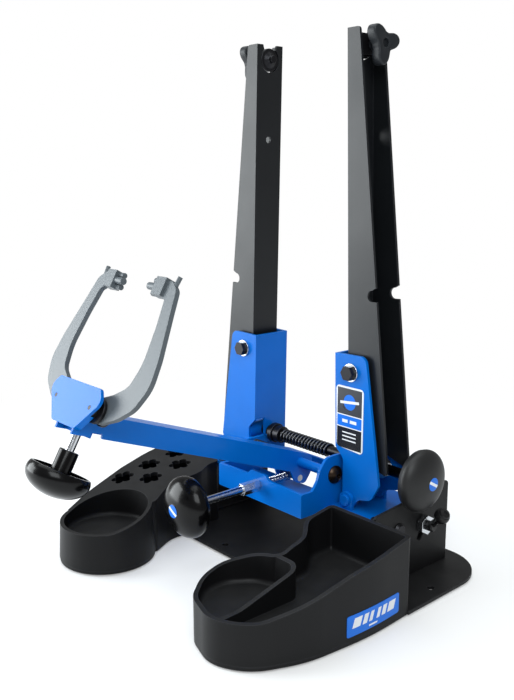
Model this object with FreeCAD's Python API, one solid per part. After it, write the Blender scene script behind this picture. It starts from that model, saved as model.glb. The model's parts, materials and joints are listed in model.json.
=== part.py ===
import FreeCAD, Part
import math
import os

V = FreeCAD.Vector

# ---------------------------------------------------------------- shared
GAP = 0.3                # room between bodies that move past each other
RUNNING_FIT = 0.05       # radial room of a turning shaft in its bore
SHEET = 3.0              # painted sheet steel

# ---------------------------------------------------------------- base
FOOT_HEIGHT = 1.5
FOOT_RADIUS = 9.0
FOOT_PLACES = [(-158, 52), (158, 52), (-160, -115), (160, -115), (-104, -206), (112, -206)]
PLATE_TOP = 5.0
PLATE_HALF = 179.5       # half the width where the plate meets the trays
PLATE_HALF_REAR = 176.0
PLATE_MIDDLE_HALF = 100.0
PLATE_REAR = 78.0
PLATE_REAR_ROUND = 48.0
PLATE_FRONT = -98.0      # edge of the plate between the two trays
BENCH_HOLE_RADIUS = 3.5
BENCH_HOLES = [(-165, -2), (165, -2), (-35, -86), (35, -86)]
TRAY_REAR = -48.0
TRAY_WALL = 4.0
TRAY_SKIN = 3.0          # thickness of the tray floors
RIGHT_FLOOR = 31.0
CUP_FLOOR = 26.0
FLOOR_ROUND = 4.5
DIVIDER_X = 129.5
DIVIDER_Y = -141.5
DIVIDER_ROUND = 10.0
WALL_FOOT_T = 3.0
CUP_X = -103.5
CUP_Y = -185.0
CUP_FOOT_RADIUS = 48.5
CUP_RIM_RADIUS = 46.0
ROSETTE_CORE = 6.0
ROSETTE_LOBE = 4.3
ROSETTE_REACH = 8.2
ROSETTE_PLACES = [(-150, -136), (-150, -101), (-150, -64.5), (-120.5, -119), (-120.5, -80.5)]
SCREW_HEAD_RADIUS = 4.0
SCREW_HEAD_HEIGHT = 2.2
LABEL_THICKNESS = 0.4

# Rim height of both trays, front to back, as (y, z).
RIM_LINE = [(-240, 40.5), (-205, 41.5), (-172, 50), (-124, 62.5), (-90, 68), (-40, 75.5)]

RIM_ROUND = 40.0
SKY = 200.0              # beyond everything that is cut

# Outlines seen from above, as (x, y, corner radius).
RIGHT_TRAY = [
    (178, TRAY_REAR, 6), (181.5, -105, 300), (175, -172, 115), (155.5, -216.5, 50), (124, -232, 34),
    (87, -220, 34), (67, -196, 36), (67, -171, 30), (84, -146, 34), (105, -137.5, 9), (102, -108, 25),
    (80.5, -84, 26), (80, TRAY_REAR, 6),
]
LEFT_BLOCK = [
    (-181, TRAY_REAR, 8), (-91, TRAY_REAR, 4), (-93, -62, 16), (-84, -82, 22), (-92, -112, 40),
    (-74, -145, 8), (-90, -180, 0), (-147, -205, 0), (-158, -180, 90), (-164, -156, 300),
    (-172.5, -117, 300), (-181.5, -80, 150),
]

# ---------------------------------------------------------------- side walls
WALL_OUTER = 135.0
WALL_THICKNESS = 3.0
WALL_FRONT = -47.5
WALL_REAR = 60.0
WALL_FOOT = 20.0
WALL_SCREW_Y = (-35, 48)
WALL_TOP = [(WALL_FRONT, 77.5, 3), (-12, 80.5, 60), (WALL_REAR, 88, 4)]
TILT_Y = -14.0
TILT_Z = 56.0
TILT_BOLT_RADIUS = 4.0
TILT_TRAVEL = 22.0
SLOT_Y = 21.0
SLOT_Z = 53.0
SLOT_BOLT_RADIUS = 3.0
CLAMP_BOLT_LENGTH = 18.0
CLAMP_BOLT_HOLD = 1.0    # how far the shank reaches into its head
CLAMP_BOLT_ROOM = 0.1
SLOT_HEAD_RADIUS = 3.9
SLOT_HEAD_HEIGHT = 3.5
GUIDE_BOLT_LENGTH = 12.0
GUIDE_NUT_FLATS = 13.0
GUIDE_NUT_T = 4.0
CLAMP_NUT_FLATS = 17.0
CLAMP_NUT_T = 6.5
LEVER_HUB = 6.5
LEVER_HUB_LENGTH = 7.5
LEVER_BALL = (158.0, 20.0, 67.5)
LEVER_BALL_RADIUS = 7.4
SLOT_RADIUS = 3.5
TILT_BOLT_HEAD = (7.0, 5.0, 3.0)      # radius at the wall, radius outside, height

# ---------------------------------------------------------------- tilting frame
FLOOR_UNDER = 60.0
FLOOR_TOP = FLOOR_UNDER + SHEET
FLOOR_HALF = 127.5
FRAME_FRONT = -71.4
FRAME_REAR = 48.0
OPENING_HALF = 70.0
OPENING_FRONT = -10.0
OPENING_REAR = 36.0
PIVOT_X = 78.0           # pivot of each upright
FRONT_HALF = PIVOT_X - 15.5
SCREW_Z = 76.8
FRONT_TOP = 85.0
ARCH_HALF = 10.5
ARCH_TOP = 90.4
SIDE_REAR = -9.5
SIDE_TOP_LINE = [
    (FRAME_FRONT, FLOOR_UNDER, 0), (FRAME_FRONT, 84, 3), (-56, 83.4, 5), (-49.5, 92, 8),
    (-46.5, 101.5, 7), (-37, 113, 9), (-24, 113.5, 0), (-12, 113, 8), (SIDE_REAR, 100, 6),
    (SIDE_REAR, 74, 8), (-20, FLOOR_UNDER, 0),
]
TILT_PLATE_X = 128.0
TILT_PLATE_T = 3.5
TILT_PLATE_SIDE = [(-31, 66, 6), (-31, 42, 8), (-12, 34, 10), (40, 34, 10), (40, 66, 6)]
TILT_SHELF_INNER = 104.0
SHELF_SCREWS = [(115, -24), (115, 32)]
FRAME_SCREW_RADIUS = 5.0
REAR_LIP = 8.0           # upstand along the rear of the floor
WING_CUT_REAR = -30.0
WING_CUT_OUT = 26.0
WING_CUT_ROUND = 12.0
LUG_HALF = 8.0
LUG_TOP_RISE = 8.0
LEFT_EAR_TOP = 102.5

# ---------------------------------------------------------------- uprights
PIVOT_Z = 72.0
PIN_RADIUS = 3.0
PIN_HEAD_RADIUS = 5.5
PIN_HEAD_T = 2.5
PIN_CLIP_RADIUS = 4.5
PIN_CLIP_T = 1.5
BRACKET_FRONT = -23.0
BRACKET_REAR = 22.0
BRACKET_TOP = 215.0
BRACKET_INNER_TOP = PIVOT_X - 20.0
BRACKET_INNER_LOW = PIVOT_X - 17.8
BRACKET_OUTER_TOP = PIVOT_X + 18.5
BRACKET_LOW = 122.0
WEB_FRONT_LOW = -8.5
WEB_BOTTOM = 68.0
TOE = [(PIVOT_X + 38, 95, 4), (PIVOT_X + 29, 78.5, 10), (PIVOT_X + 13, 75, 12), (PIVOT_X + 8, 69, 4),
       (PIVOT_X + 7.5, 64.3, 6), (PIVOT_X - 7.5, 64.3, 7)]
BOLT_X = PIVOT_X + 0.5
BOLT_Z = 198.6
BOLT_RADIUS = 4.0
BOLT_HEAD_FLATS = 13.0
BOLT_HEAD_HEIGHT = 5.5
BOLT_NUT_T = 5.0
WASHER_RADIUS = 9.0
WASHER_T = 1.4
UPRIGHT_HALF = 17.1
UPRIGHT_SHEET = 2.5
AXLE_Z = 495.5
UPRIGHT_TOP = AXLE_Z + 14.3
UPRIGHT_INNER_TOP = PIVOT_X - 16.9
UPRIGHT_OUTER_TOP = PIVOT_X - 2.5
UPRIGHT_INNER_LOW = PIVOT_X - 6.0
UPRIGHT_INNER_LOW_Z = 120.0
UPRIGHT_OUTER_LOW = PIVOT_X + 43.4
UPRIGHT_OUTER_LOW_Z = 104.0
NOTCH_Z = AXLE_Z - 223.0
NOTCH_X = PIVOT_X + 20.0
NOTCH_FLARE = 18.0
NOTCH_RADIUS = 5.2
SIGHT_HOLE_Z = AXLE_Z - 78.5
SIGHT_HOLE_RADIUS = 3.3
SEAT_RADIUS = 12.2
NECK_HALF = 7.5
MOUTH_HALF = 9.5
MOUTH_DEPTH = 5.0
BRIDGE_X = UPRIGHT_INNER_TOP + 8.4
BRIDGE_T = 6.0
BRIDGE_HEIGHT = 18.0
PAD_X = UPRIGHT_INNER_TOP + 0.4
PAD_T = 4.5
PAD_RADIUS = 11.2
PAD_TIP_RADIUS = 3.75
PAD_TIP_X = PAD_X - 6.0
CLAMP_RADIUS = 5.0
CLAMP_KNOB_X = UPRIGHT_INNER_TOP + 20.7
CLAMP_KNOB_T = 10.2
CLAMP_CORE = 11.0
CLAMP_LOBE = 5.8
CLAMP_REACH = 13.6
CLAMP_ANGLES = [12, 135, 262]
CLAMP_POCKET_RADIUS = 4.0
CLAMP_POCKET_DEPTH = 3.0
TRAY_LABEL = [(-131, 9, 2), (-66, 10, 2), (-66, 28.5, 2), (-131, 28, 2)]
LABEL_LEFT = PIVOT_X - 17.4
LABEL_RIGHT = PIVOT_X + 17.6
BRACKET_LABEL = [
    (LABEL_LEFT, 184.5, 4), (LABEL_RIGHT, 184.5, 4), (LABEL_RIGHT, 121, 4), (LABEL_LEFT + 1.4, 123.5, 4),
]
REST_X = PIVOT_X + 10.0  # low spacer pads beside each upright
REST_WIDTH = 16.0
REST_Z = 122.0
REST_HEIGHT = 18.0

# ---------------------------------------------------------------- lead screw
LEAD_Z = 105.0
LEAD_RADIUS = 5.0
LEAD_LEFT = -94.0
LEAD_FIT = 0.1
NUT_RADIUS = 8.0
NUT_PIN_RADIUS = 4.0
NUT_PIN_SKIN = 1.0       # the front flange covers the end of the pin
WEB_HOLE_RADIUS = 7.0
BUSHING = (-55.5, -49.0, 10.5)
COLLAR = (-49.0, -40.0, 9.0)
LEAD_SPRING_END = 32.0
LEAD_SPRING_WIRE = 1.15
LEAD_SPRING_TURNS = 15
LEAD_WASHER = (100.0, 108.0, 10.0)
MAIN_KNOB_X = 143.0
MAIN_KNOB_RADIUS = 29.5
MAIN_KNOB_DEPTH = 19.5
MAIN_KNOB_NECK = 0.5
MAIN_KNOB_HOLD = 8.0     # lead screw inside the knob
LEAD_SPRING_FIT = 0.05

# ---------------------------------------------------------------- caliper arm
ARM_Y = -26.0
ARM_Z = 94.0
ARM_RISE = 20.1          # degrees above level
ARM_HALF = 14.0
ARM_SHEET = 2.2
ARM_TOP = 9.0
ARM_BOTTOM = -11.3
ARM_TAIL = 15.0
ARM_CAP_END = 243.0
TAB_TOP = 2.2            # the arm runs on under the head as a low tab
TAB_BOTTOM = -10.5
TAB_NOTCH = -6.2
TUBE_RADIUS = 5.0
TUBE_LEFT = -FRONT_HALF - 2.8
TUBE_CAP = 2.5
TUBE_CAP_RADIUS = 8.5
TUBE_RIGHT = FRONT_HALF - SHEET - GAP
ARM_BOLT_RADIUS = 3.0
ARM_BOLT_HEAD = 9.0
ARM_BOLT_GRIP = 13.0     # bolt inside the tube
ARM_BOLT_SOCKET = 5.0
COIL_FIT = 0.1
SPRING_WIRE = 1.5
SPRING_MEAN = TUBE_RADIUS + RUNNING_FIT + SPRING_WIRE
SPRING_LEFT = SHEET + SPRING_WIRE + COIL_FIT - FRONT_HALF
SPRING_RIGHT = -ARM_HALF - SPRING_WIRE - COIL_FIT
SPRING_TURNS = 11
HEEL_DROP = ARM_Z - SCREW_Z
HEEL_RADIUS = 3.5

# Side of the arm in its own frame, as (-s, v, corner radius): s runs along the arm.
ARM_SIDE = [
    (ARM_TAIL, ARM_TOP + 1, 6), (ARM_TAIL + 4, -8, 8), (ARM_TAIL, -21, 6), (0, -21, 6), (-9, ARM_BOTTOM, 5),
    (-240.5, TAB_BOTTOM, 1), (-241, TAB_NOTCH, 1), (-252.5, TAB_NOTCH, 1), (-253, TAB_BOTTOM, 1),
    (-290, TAB_BOTTOM, 0), (-290, TAB_TOP, 0), (-242, TAB_TOP, 1), (-ARM_CAP_END + 2, ARM_TOP, 2),
]

# ---------------------------------------------------------------- caliper head
HEAD_Y = -259.3
HEAD_Z = 200.0
HEAD_LEAN = 30.0         # degrees between the jaw plane and the vertical
JAW_T = 4.6
JAW_PIVOT_X = 27.4
JAW_PIVOT_H = -6.85
JAW_PIVOT_RADIUS = 4.0
JAW_WASHER_RADIUS = 11.0
JAW_WASHER_T = 3.2
JAW_SPACER_WALL = 2.0
JAW_NUT_FLATS = 12.0
JAW_NUT_T = 5.0
HEAD_BACK = 9.5
HEAD_FRONT = 12.5
HEAD_RETURN = 6.0
RETURN_TOP = -13.0       # the bent rim of the plate starts below this
RETURN_SHEET = 2.2
HEAD_OUTLINE = [(-32.5, 10.3, 5), (32.5, 10.3, 5), (41, 0, 8), (18.5, -27, 5), (-18.5, -27, 5), (-41, 0, 8)]
TAIL_X = 7.2
TAIL_H = -10.0
TAIL_RADIUS = 2.2
TAIL_ROOT_X = 22.0
TAIL_ROOT_TOP = -5.0
TAIL_ROOT_LOW = -14.0
TIP_OUTER = 44.5
JAW_OUTLINE = [
    (19.5, -5, 3), (19, -13.5, 3), (32, -17, 10), (53, -8.5, 25), (69, 3, 22), (78, 23, 28),
    (75, 46, 60), (64.5, 85, 90), (59.5, 105, 8), (50.5, 111.5, 4), (TIP_OUTER, 112, 1),
    (TIP_OUTER, 98, 1), (49.5, 95, 3), (54, 72, 90), (57.5, 40, 45), (52, 19, 14), (37, 9.5, 10), (23, 4, 5),
]
TIP_INNER = 31.0
TIP_LOW = 97.5
TIP_HIGH = 113.5
TIP_HALF = 5.0
FEELERS = [(24.0, 0.5, 5.2, 2.5), (20.0, -1.0, -0.4, 3.2), (24.5, 2.0, -5.2, 2.6)]
POST_X = 53.5
POST_H = 107.0
POST_RADIUS = 2.0
POST_HEIGHT = 10.0
AXIS_C = -4.5            # jaw screw behind the plane of the jaws
SPOOL_CORE = 5.2
SPOOL_FLANGE = 7.6
GROOVE_HALF = 2.8
SPOOL_LIP = 2.0
JAW_SCREW_RADIUS = 3.8
JAW_SCREW_TOP = -2.0
NUT_BLOCK_TOP = -21.0
NUT_BLOCK_LOW = -30.0
NUT_BLOCK_HALF = 6.5
JAW_HUB_TOP = -45.5
JAW_RIM = -62.5
JAW_KNOB_RADIUS = 28.0
JAW_KNOB_DEPTH = 23.0
JAW_KNOB_HUB = 8.5

# ---------------------------------------------------------------- height screw
ROD_RADIUS = 4.0
CAP_LENGTH = 5.0
CAP_RADIUS = 4.6
SLEEVE_FRONT = -93.0
SLEEVE_FLATS = 11.0
KNOB_RIM_Y = -153.5
KNOB_RADIUS = 29.5
KNOB_DEPTH = 23.0
KNOB_HUB = 9.0
KNOB_NECK = 7.0          # hub of the height knob behind its rim
KNOB_RIBS = 6
KNOB_RIB_HALF = 1.1
KNOB_RIB_LOW = 1.5
SCREW_IN_KNOB = 5.0
HEEL_CLEARANCE = 0.1
KNOB_WALL = 3.0
KNOB_RIM = 6.0
BADGE_RADIUS = 7.0
BADGE_T = 0.8


# ================================================================ helpers
def block(x0, x1, y0, y1, z0, z1):
    return Part.makeBox(x1 - x0, y1 - y0, z1 - z0, V(x0, y0, z0))


def rod(radius, start, direction, length):
    return Part.makeCylinder(radius, length, V(*start), V(*direction))


def ring(outer, inner, start, direction, length):
    return rod(outer, start, direction, length).cut(rod(inner, start, direction, length))


def mirrored(shape):
    return shape.mirror(V(0, 0, 0), V(1, 0, 0))


def group(shapes):
    return Part.makeCompound(shapes)


def fused(shapes):
    return shapes[0].multiFuse(shapes[1:]).removeSplitter()


def corner_arc(before, here, after, radius):
    """Start, middle and end of the round at one corner."""
    back = (before - here).normalize()
    ahead = (after - here).normalize()
    half = back.getAngle(ahead) / 2
    setback = radius / math.tan(half)
    middle_line = (back + ahead).normalize()
    centre = here + middle_line * (radius / math.sin(half))
    return here + back * setback, centre - middle_line * radius, here + ahead * setback


def outline_edges(corners):
    """Lines and arcs of a closed outline with rounded corners, in the XY plane."""
    points = [V(c[0], c[1], 0) for c in corners]
    radii = [c[2] if len(c) > 2 else 0 for c in corners]
    arcs = []
    for i, here in enumerate(points):
        if radii[i] > 0:
            arcs.append(corner_arc(points[i - 1], here, points[(i + 1) % len(points)], radii[i]))
        else:
            arcs.append((here, None, here))
    edges = []
    for i, (start, middle, end) in enumerate(arcs):
        if middle is not None:
            edges.append(Part.Arc(start, middle, end).toShape())
        following = arcs[(i + 1) % len(arcs)][0]
        if end.distanceToPoint(following) > 0.001:
            edges.append(Part.makeLine(end, following))
    return edges


def flat(corners):
    return Part.Face(Part.Wire(outline_edges(corners)))


# Each of these extrudes an outline along the axis its plane leaves out.
def plate_xy(corners, z0, z1):
    shape = flat(corners).extrude(V(0, 0, z1 - z0))
    return moved(shape, V(0, 0, z0))


def plate_yz(corners, x0, x1):
    turn = FreeCAD.Rotation(V(0, 1, 0), V(0, 0, 1), V(1, 0, 0), "ZXY")
    shape = flat(corners).extrude(V(0, 0, x1 - x0))
    return placed(shape, FreeCAD.Placement(V(x0, 0, 0), turn))


def plate_xz(corners, y0, y1):
    turn = FreeCAD.Rotation(V(1, 0, 0), 90)
    shape = flat(corners).extrude(V(0, 0, y1 - y0))
    return placed(shape, FreeCAD.Placement(V(0, y1, 0), turn))


def placed(shape, placement):
    return shape.transformed(placement.toMatrix(), True)


def moved(shape, offset):
    return placed(shape, FreeCAD.Placement(offset, FreeCAD.Rotation()))


def in_arm(shape):
    """From the arm's frame (x, -s, v) to its place on the stand."""
    turn = FreeCAD.Rotation(V(1, 0, 0), -ARM_RISE)
    return placed(shape, FreeCAD.Placement(V(0, ARM_Y, ARM_Z), turn))


def in_head(shape):
    """From the caliper head's frame (x, -c, h) to its place on the stand."""
    turn = FreeCAD.Rotation(V(1, 0, 0), -HEAD_LEAN)
    return placed(shape, FreeCAD.Placement(V(0, HEAD_Y, HEAD_Z), turn))


def arm_plane(c0, c1):
    """A thick slab of the head's frame, carried into the arm's frame."""
    slab = in_head(block(-60, 60, -c1, -c0, -80, 80))
    turn = FreeCAD.Rotation(V(1, 0, 0), -ARM_RISE)
    return placed(slab, FreeCAD.Placement(V(0, ARM_Y, ARM_Z), turn).inverse())


def hexagon(flats, start, direction, length):
    reach = flats / 2 / math.cos(math.pi / 6)
    points = [V(reach * math.cos(i * math.pi / 3), reach * math.sin(i * math.pi / 3), 0) for i in range(7)]
    prism = Part.Face(Part.makePolygon(points)).extrude(V(0, 0, length))
    turn = FreeCAD.Rotation(V(0, 0, 1), V(*direction))
    return placed(prism, FreeCAD.Placement(V(*start), turn))


def coil(mean, wire, length, turns):
    """A helical spring standing on the XY plane."""
    path = Part.Wire(Part.makeHelix(length / turns, length, mean))
    section = Part.Wire(Part.Circle(V(mean, 0, 0), V(0, 1, 0), wire).toShape())
    return path.makePipeShell([section], True, True)


def dome_solid(radius, depth, rise):
    """A solid dome on the Z axis, its flat rim on z = 0."""
    long_side, short_side = max(radius, depth - rise), min(radius, depth - rise)
    ball = Part.makeSphere(1.0)
    matrix = FreeCAD.Matrix()
    matrix.scale(V(long_side, long_side, short_side))
    cap = ball.transformGeometry(matrix)
    cap = cap.common(block(-radius - 1, radius + 1, -radius - 1, radius + 1, 0, depth))
    skirt = Part.makeCone(radius - 2.5, radius, rise)
    return fused([skirt, moved(cap, V(0, 0, rise))])


def mushroom(radius, depth, hub_radius, hub_length, bore):
    """A hollow hand knob: dome towards +Z, hub reaching back below the rim plane."""
    shell = dome_solid(radius, depth, KNOB_RIM)
    hollow = dome_solid(radius - KNOB_WALL, depth - KNOB_WALL, KNOB_RIM)
    ribs = []
    for i in range(KNOB_RIBS):
        rib = block(0, radius - KNOB_WALL / 2, -KNOB_RIB_HALF, KNOB_RIB_HALF, KNOB_RIB_LOW, depth)
        ribs.append(rib.rotated(V(0, 0, 0), V(0, 0, 1), 360 / KNOB_RIBS * (i + 0.5)))
    ribs.append(rod(hub_radius, (0, 0, 0), (0, 0, 1), depth))
    webs = fused(ribs).common(shell)
    hub = rod(hub_radius, (0, 0, -hub_length), (0, 0, 1), hub_length + 1)
    knob = fused([shell.cut(hollow), webs, hub])
    return knob.cut(rod(bore, (0, 0, -hub_length), (0, 0, 1), hub_length + depth / 2))


def facing(shape, start, direction):
    """Turn a shape built along +Z to another direction and move it to start."""
    turn = FreeCAD.Rotation(V(0, 0, 1), V(*direction))
    return placed(shape, FreeCAD.Placement(V(*start), turn))


def badge():
    return rod(BADGE_RADIUS, (0, 0, 0), (0, 0, 1), BADGE_T + 1)


# ================================================================ base
def base_plate():
    rear = [
        (-PLATE_HALF_REAR, PLATE_REAR, PLATE_REAR_ROUND), (PLATE_HALF_REAR, PLATE_REAR, PLATE_REAR_ROUND),
        (PLATE_HALF, TRAY_REAR - TRAY_WALL, 0), (-PLATE_HALF, TRAY_REAR - TRAY_WALL, 0),
    ]
    half = PLATE_MIDDLE_HALF
    centre = [(-half, TRAY_REAR, 0), (half, TRAY_REAR, 0), (half, PLATE_FRONT, 0), (-half, PLATE_FRONT, 0)]
    cup = rod(CUP_FOOT_RADIUS - 0.5, (CUP_X, CUP_Y, FOOT_HEIGHT), (0, 0, 1), PLATE_TOP - FOOT_HEIGHT)
    parts = [plate_xy(outline, FOOT_HEIGHT, PLATE_TOP) for outline in (rear, centre, RIGHT_TRAY, LEFT_BLOCK)]
    plate = fused(parts + [cup])
    for x, y in BENCH_HOLES:
        plate = plate.cut(rod(BENCH_HOLE_RADIUS, (x, y, 0), (0, 0, 1), PLATE_TOP + 1))
    return plate


def rubber_feet():
    return group([rod(FOOT_RADIUS, (x, y, 0), (0, 0, 1), FOOT_HEIGHT) for x, y in FOOT_PLACES])


def above_rim(drop):
    """Everything above the sloping tray rim, lowered by drop."""
    line = [(y, z - drop, RIM_ROUND) for y, z in RIM_LINE]
    line[0] = (line[0][0], line[0][1], 0)
    line[-1] = (line[-1][0], line[-1][1], 0)
    sky = [(RIM_LINE[-1][0], SKY, 0), (RIM_LINE[0][0], SKY, 0)]
    return plate_yz(line + sky, -SKY, SKY)


def inside(corners, z0, z1):
    face = flat(corners).makeOffset2D(-TRAY_WALL)
    return moved(face.extrude(V(0, 0, z1 - z0)), V(0, 0, z0))


def rounded_floor(pocket, floor, radius):
    """Round the edges of a pocket where its walls meet the floor."""
    edges = [edge for edge in pocket.Edges if edge.BoundBox.ZMax < floor + 0.01]
    return pocket.makeFillet(radius, edges)


def divider():
    wall = TRAY_WALL
    corners = [
        (DIVIDER_X + wall, -240, 0), (DIVIDER_X + wall, DIVIDER_Y + wall, DIVIDER_ROUND + wall),
        (60, DIVIDER_Y + wall, 0), (60, DIVIDER_Y, 0), (DIVIDER_X, DIVIDER_Y, DIVIDER_ROUND),
        (DIVIDER_X, -240, 0),
    ]
    return plate_xy(corners, PLATE_TOP, SKY)


def right_tray():
    body = plate_xy(RIGHT_TRAY, PLATE_TOP, 90)
    pockets = rounded_floor(inside(RIGHT_TRAY, RIGHT_FLOOR, SKY), RIGHT_FLOOR, FLOOR_ROUND).cut(divider())
    under = inside(RIGHT_TRAY, PLATE_TOP, RIGHT_FLOOR - TRAY_SKIN)
    return body.cut(pockets).cut(under).cut(above_rim(0))


def rosette(x, y):
    lobes = [rod(ROSETTE_CORE, (x, y, 20), (0, 0, 1), 80)]
    for i in range(6):
        turn = math.radians(60 * i)
        lobe = (x + ROSETTE_REACH * math.cos(turn), y + ROSETTE_REACH * math.sin(turn), 20)
        lobes.append(rod(ROSETTE_LOBE, lobe, (0, 0, 1), 80))
    return fused(lobes)


def cup_cone(inset, z0, z1):
    slope = (CUP_FOOT_RADIUS - CUP_RIM_RADIUS) / 50.0
    low = CUP_FOOT_RADIUS - slope * (z0 - PLATE_TOP) - inset
    high = CUP_FOOT_RADIUS - slope * (z1 - PLATE_TOP) - inset
    return Part.makeCone(low, high, z1 - z0, V(CUP_X, CUP_Y, z0))


def left_tray():
    cup = cup_cone(0, PLATE_TOP, 90)
    body = plate_xy(LEFT_BLOCK, PLATE_TOP, 90).cut(above_rim(0))
    hollow = inside(LEFT_BLOCK, PLATE_TOP, 95).cut(above_rim(TRAY_WALL)).cut(cup)
    body = body.cut(hollow)
    for x, y in ROSETTE_PLACES:
        body = body.cut(rosette(x, y))
    shell = fused([body, cup.cut(above_rim(0))])
    shell = shell.cut(rounded_floor(cup_cone(TRAY_WALL, CUP_FLOOR, 95), CUP_FLOOR, FLOOR_ROUND))
    return shell.cut(cup_cone(TRAY_WALL, PLATE_TOP, CUP_FLOOR - TRAY_SKIN))


def base_screws():
    """The screws in the feet of the side walls."""
    heads = []
    for side in (-1, 1):
        for y in WALL_SCREW_Y:
            spot = (side * (WALL_OUTER - WALL_THICKNESS - WALL_FOOT / 2), y, PLATE_TOP + WALL_FOOT_T)
            heads.append(rod(SCREW_HEAD_RADIUS, spot, (0, 0, 1), SCREW_HEAD_HEIGHT))
    return group(heads)


def slot_cutter():
    """The curved slot about the tilt axis, as long as the tilt needs."""
    reach = math.hypot(SLOT_Y - TILT_Y, SLOT_Z - TILT_Z)
    start = math.degrees(math.atan2(SLOT_Z - TILT_Z, SLOT_Y - TILT_Y))
    steps = [start - TILT_TRAVEL, start]
    band = ring(reach + SLOT_RADIUS, reach - SLOT_RADIUS, (WALL_OUTER - 10, TILT_Y, TILT_Z), (1, 0, 0), 20)
    wedge = [(TILT_Y, TILT_Z)]
    for turn in (steps[0], (steps[0] + steps[1]) / 2, steps[1]):
        far = math.radians(turn)
        wedge.append((TILT_Y + 80 * math.cos(far), TILT_Z + 80 * math.sin(far)))
    pieces = [band.common(plate_yz(wedge, WALL_OUTER - 10, WALL_OUTER + 10))]
    for turn in steps:
        far = math.radians(turn)
        spot = (WALL_OUTER - 10, TILT_Y + reach * math.cos(far), TILT_Z + reach * math.sin(far))
        pieces.append(rod(SLOT_RADIUS, spot, (1, 0, 0), 20))
    return fused(pieces)


def side_wall():
    corners = [(WALL_FRONT, PLATE_TOP, 0)] + WALL_TOP + [(WALL_REAR, PLATE_TOP, 0)]
    inner = WALL_OUTER - WALL_THICKNESS
    upright = plate_yz(corners, inner, WALL_OUTER)
    foot = block(inner - WALL_FOOT, inner, WALL_FRONT, WALL_REAR, PLATE_TOP, PLATE_TOP + WALL_FOOT_T)
    wall = fused([upright, foot]).cut(slot_cutter())
    return wall.cut(rod(TILT_BOLT_RADIUS + RUNNING_FIT, (inner - 1, TILT_Y, TILT_Z), (1, 0, 0), 10))


# ================================================================ tilting frame
def front_plate():
    corners = [
        (-FRONT_HALF, FLOOR_UNDER, 0), (FRONT_HALF, FLOOR_UNDER, 0), (FRONT_HALF, FRONT_TOP - 1, 2),
        (ARCH_HALF + 5, FRONT_TOP, 6), (ARCH_HALF, ARCH_TOP, 5), (-ARCH_HALF, ARCH_TOP, 5),
        (-ARCH_HALF - 5, FRONT_TOP, 6), (-FRONT_HALF, FRONT_TOP - 1, 2),
    ]
    return plate_xz(corners, FRAME_FRONT, FRAME_FRONT + SHEET)


def pivot_lug(y0):
    """A pair of lugs, one at each upright, on one Y station."""
    top = PIVOT_Z + LUG_TOP_RISE
    corners = [
        (PIVOT_X - LUG_HALF, FLOOR_UNDER, 0), (PIVOT_X + LUG_HALF, FLOOR_UNDER, 0),
        (PIVOT_X + LUG_HALF, top, LUG_HALF - 1), (PIVOT_X - LUG_HALF, top, LUG_HALF - 1),
    ]
    lug = plate_xz(corners, y0, y0 + SHEET)
    return [lug, mirrored(lug)]


def main_frame():
    floor = block(-FLOOR_HALF, FLOOR_HALF, FRAME_FRONT + SHEET, FRAME_REAR, FLOOR_UNDER, FLOOR_TOP)
    wings = [
        (FRONT_HALF, FRAME_FRONT, 0), (SKY, FRAME_FRONT, 0), (SKY, WING_CUT_REAR, 0),
        (FRONT_HALF + WING_CUT_OUT, WING_CUT_REAR, WING_CUT_ROUND), (FRONT_HALF, FRAME_FRONT + 30, 0),
    ]
    wing = plate_xy(wings, FLOOR_UNDER - 1, FLOOR_TOP + 1)
    opening = plate_xy([
        (-OPENING_HALF, OPENING_FRONT, 6), (OPENING_HALF, OPENING_FRONT, 6),
        (OPENING_HALF, OPENING_REAR, 6), (-OPENING_HALF, OPENING_REAR, 6),
    ], FLOOR_UNDER - 1, FLOOR_TOP + 1)
    floor = floor.cut(opening).cut(wing).cut(mirrored(wing))
    rear = block(-FRONT_HALF, FRONT_HALF, FRAME_REAR - SHEET, FRAME_REAR, FLOOR_UNDER, FLOOR_TOP + REAR_LIP)
    side = plate_yz(SIDE_TOP_LINE, FRONT_HALF - SHEET, FRONT_HALF)
    low_side = mirrored(side).cut(block(-SKY, 0, FRAME_FRONT, 0, LEFT_EAR_TOP, SKY))
    pieces = [floor, front_plate(), rear, side, low_side]
    pieces += pivot_lug(BRACKET_FRONT - GAP - SHEET) + pivot_lug(BRACKET_REAR + GAP)
    frame = fused(pieces)
    for x in (-PIVOT_X, PIVOT_X):
        frame = frame.cut(rod(PIN_RADIUS, (x, -60, PIVOT_Z), (0, 1, 0), 120))
    frame = frame.cut(rod(TUBE_RADIUS + RUNNING_FIT, (-FRONT_HALF - 1, ARM_Y, ARM_Z), (1, 0, 0), SHEET + 2))
    frame = frame.cut(rod(ARM_BOLT_RADIUS, (FRONT_HALF - SHEET - 1, ARM_Y, ARM_Z), (1, 0, 0), SHEET + 2))
    return frame.cut(rod(ROD_RADIUS + RUNNING_FIT, (0, FRAME_FRONT - 1, SCREW_Z), (0, 1, 0), SHEET + 2))


def tilt_plate():
    outer = TILT_PLATE_X + TILT_PLATE_T
    leg = plate_yz(TILT_PLATE_SIDE, TILT_PLATE_X, outer)
    shelf = block(TILT_SHELF_INNER, outer, -29, 40, FLOOR_UNDER - SHEET, FLOOR_UNDER)
    plate = fused([leg, shelf])
    plate = plate.cut(rod(TILT_BOLT_RADIUS, (TILT_PLATE_X - 1, TILT_Y, TILT_Z), (1, 0, 0), 10))
    return plate.cut(rod(SLOT_BOLT_RADIUS, (TILT_PLATE_X - 1, SLOT_Y, SLOT_Z), (1, 0, 0), 10))


def frame_screws():
    heads = []
    for x, y in SHELF_SCREWS:
        for side in (-1, 1):
            heads.append(rod(FRAME_SCREW_RADIUS, (side * x, y, FLOOR_TOP), (0, 0, 1), SCREW_HEAD_HEIGHT))
    return group(heads)


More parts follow.
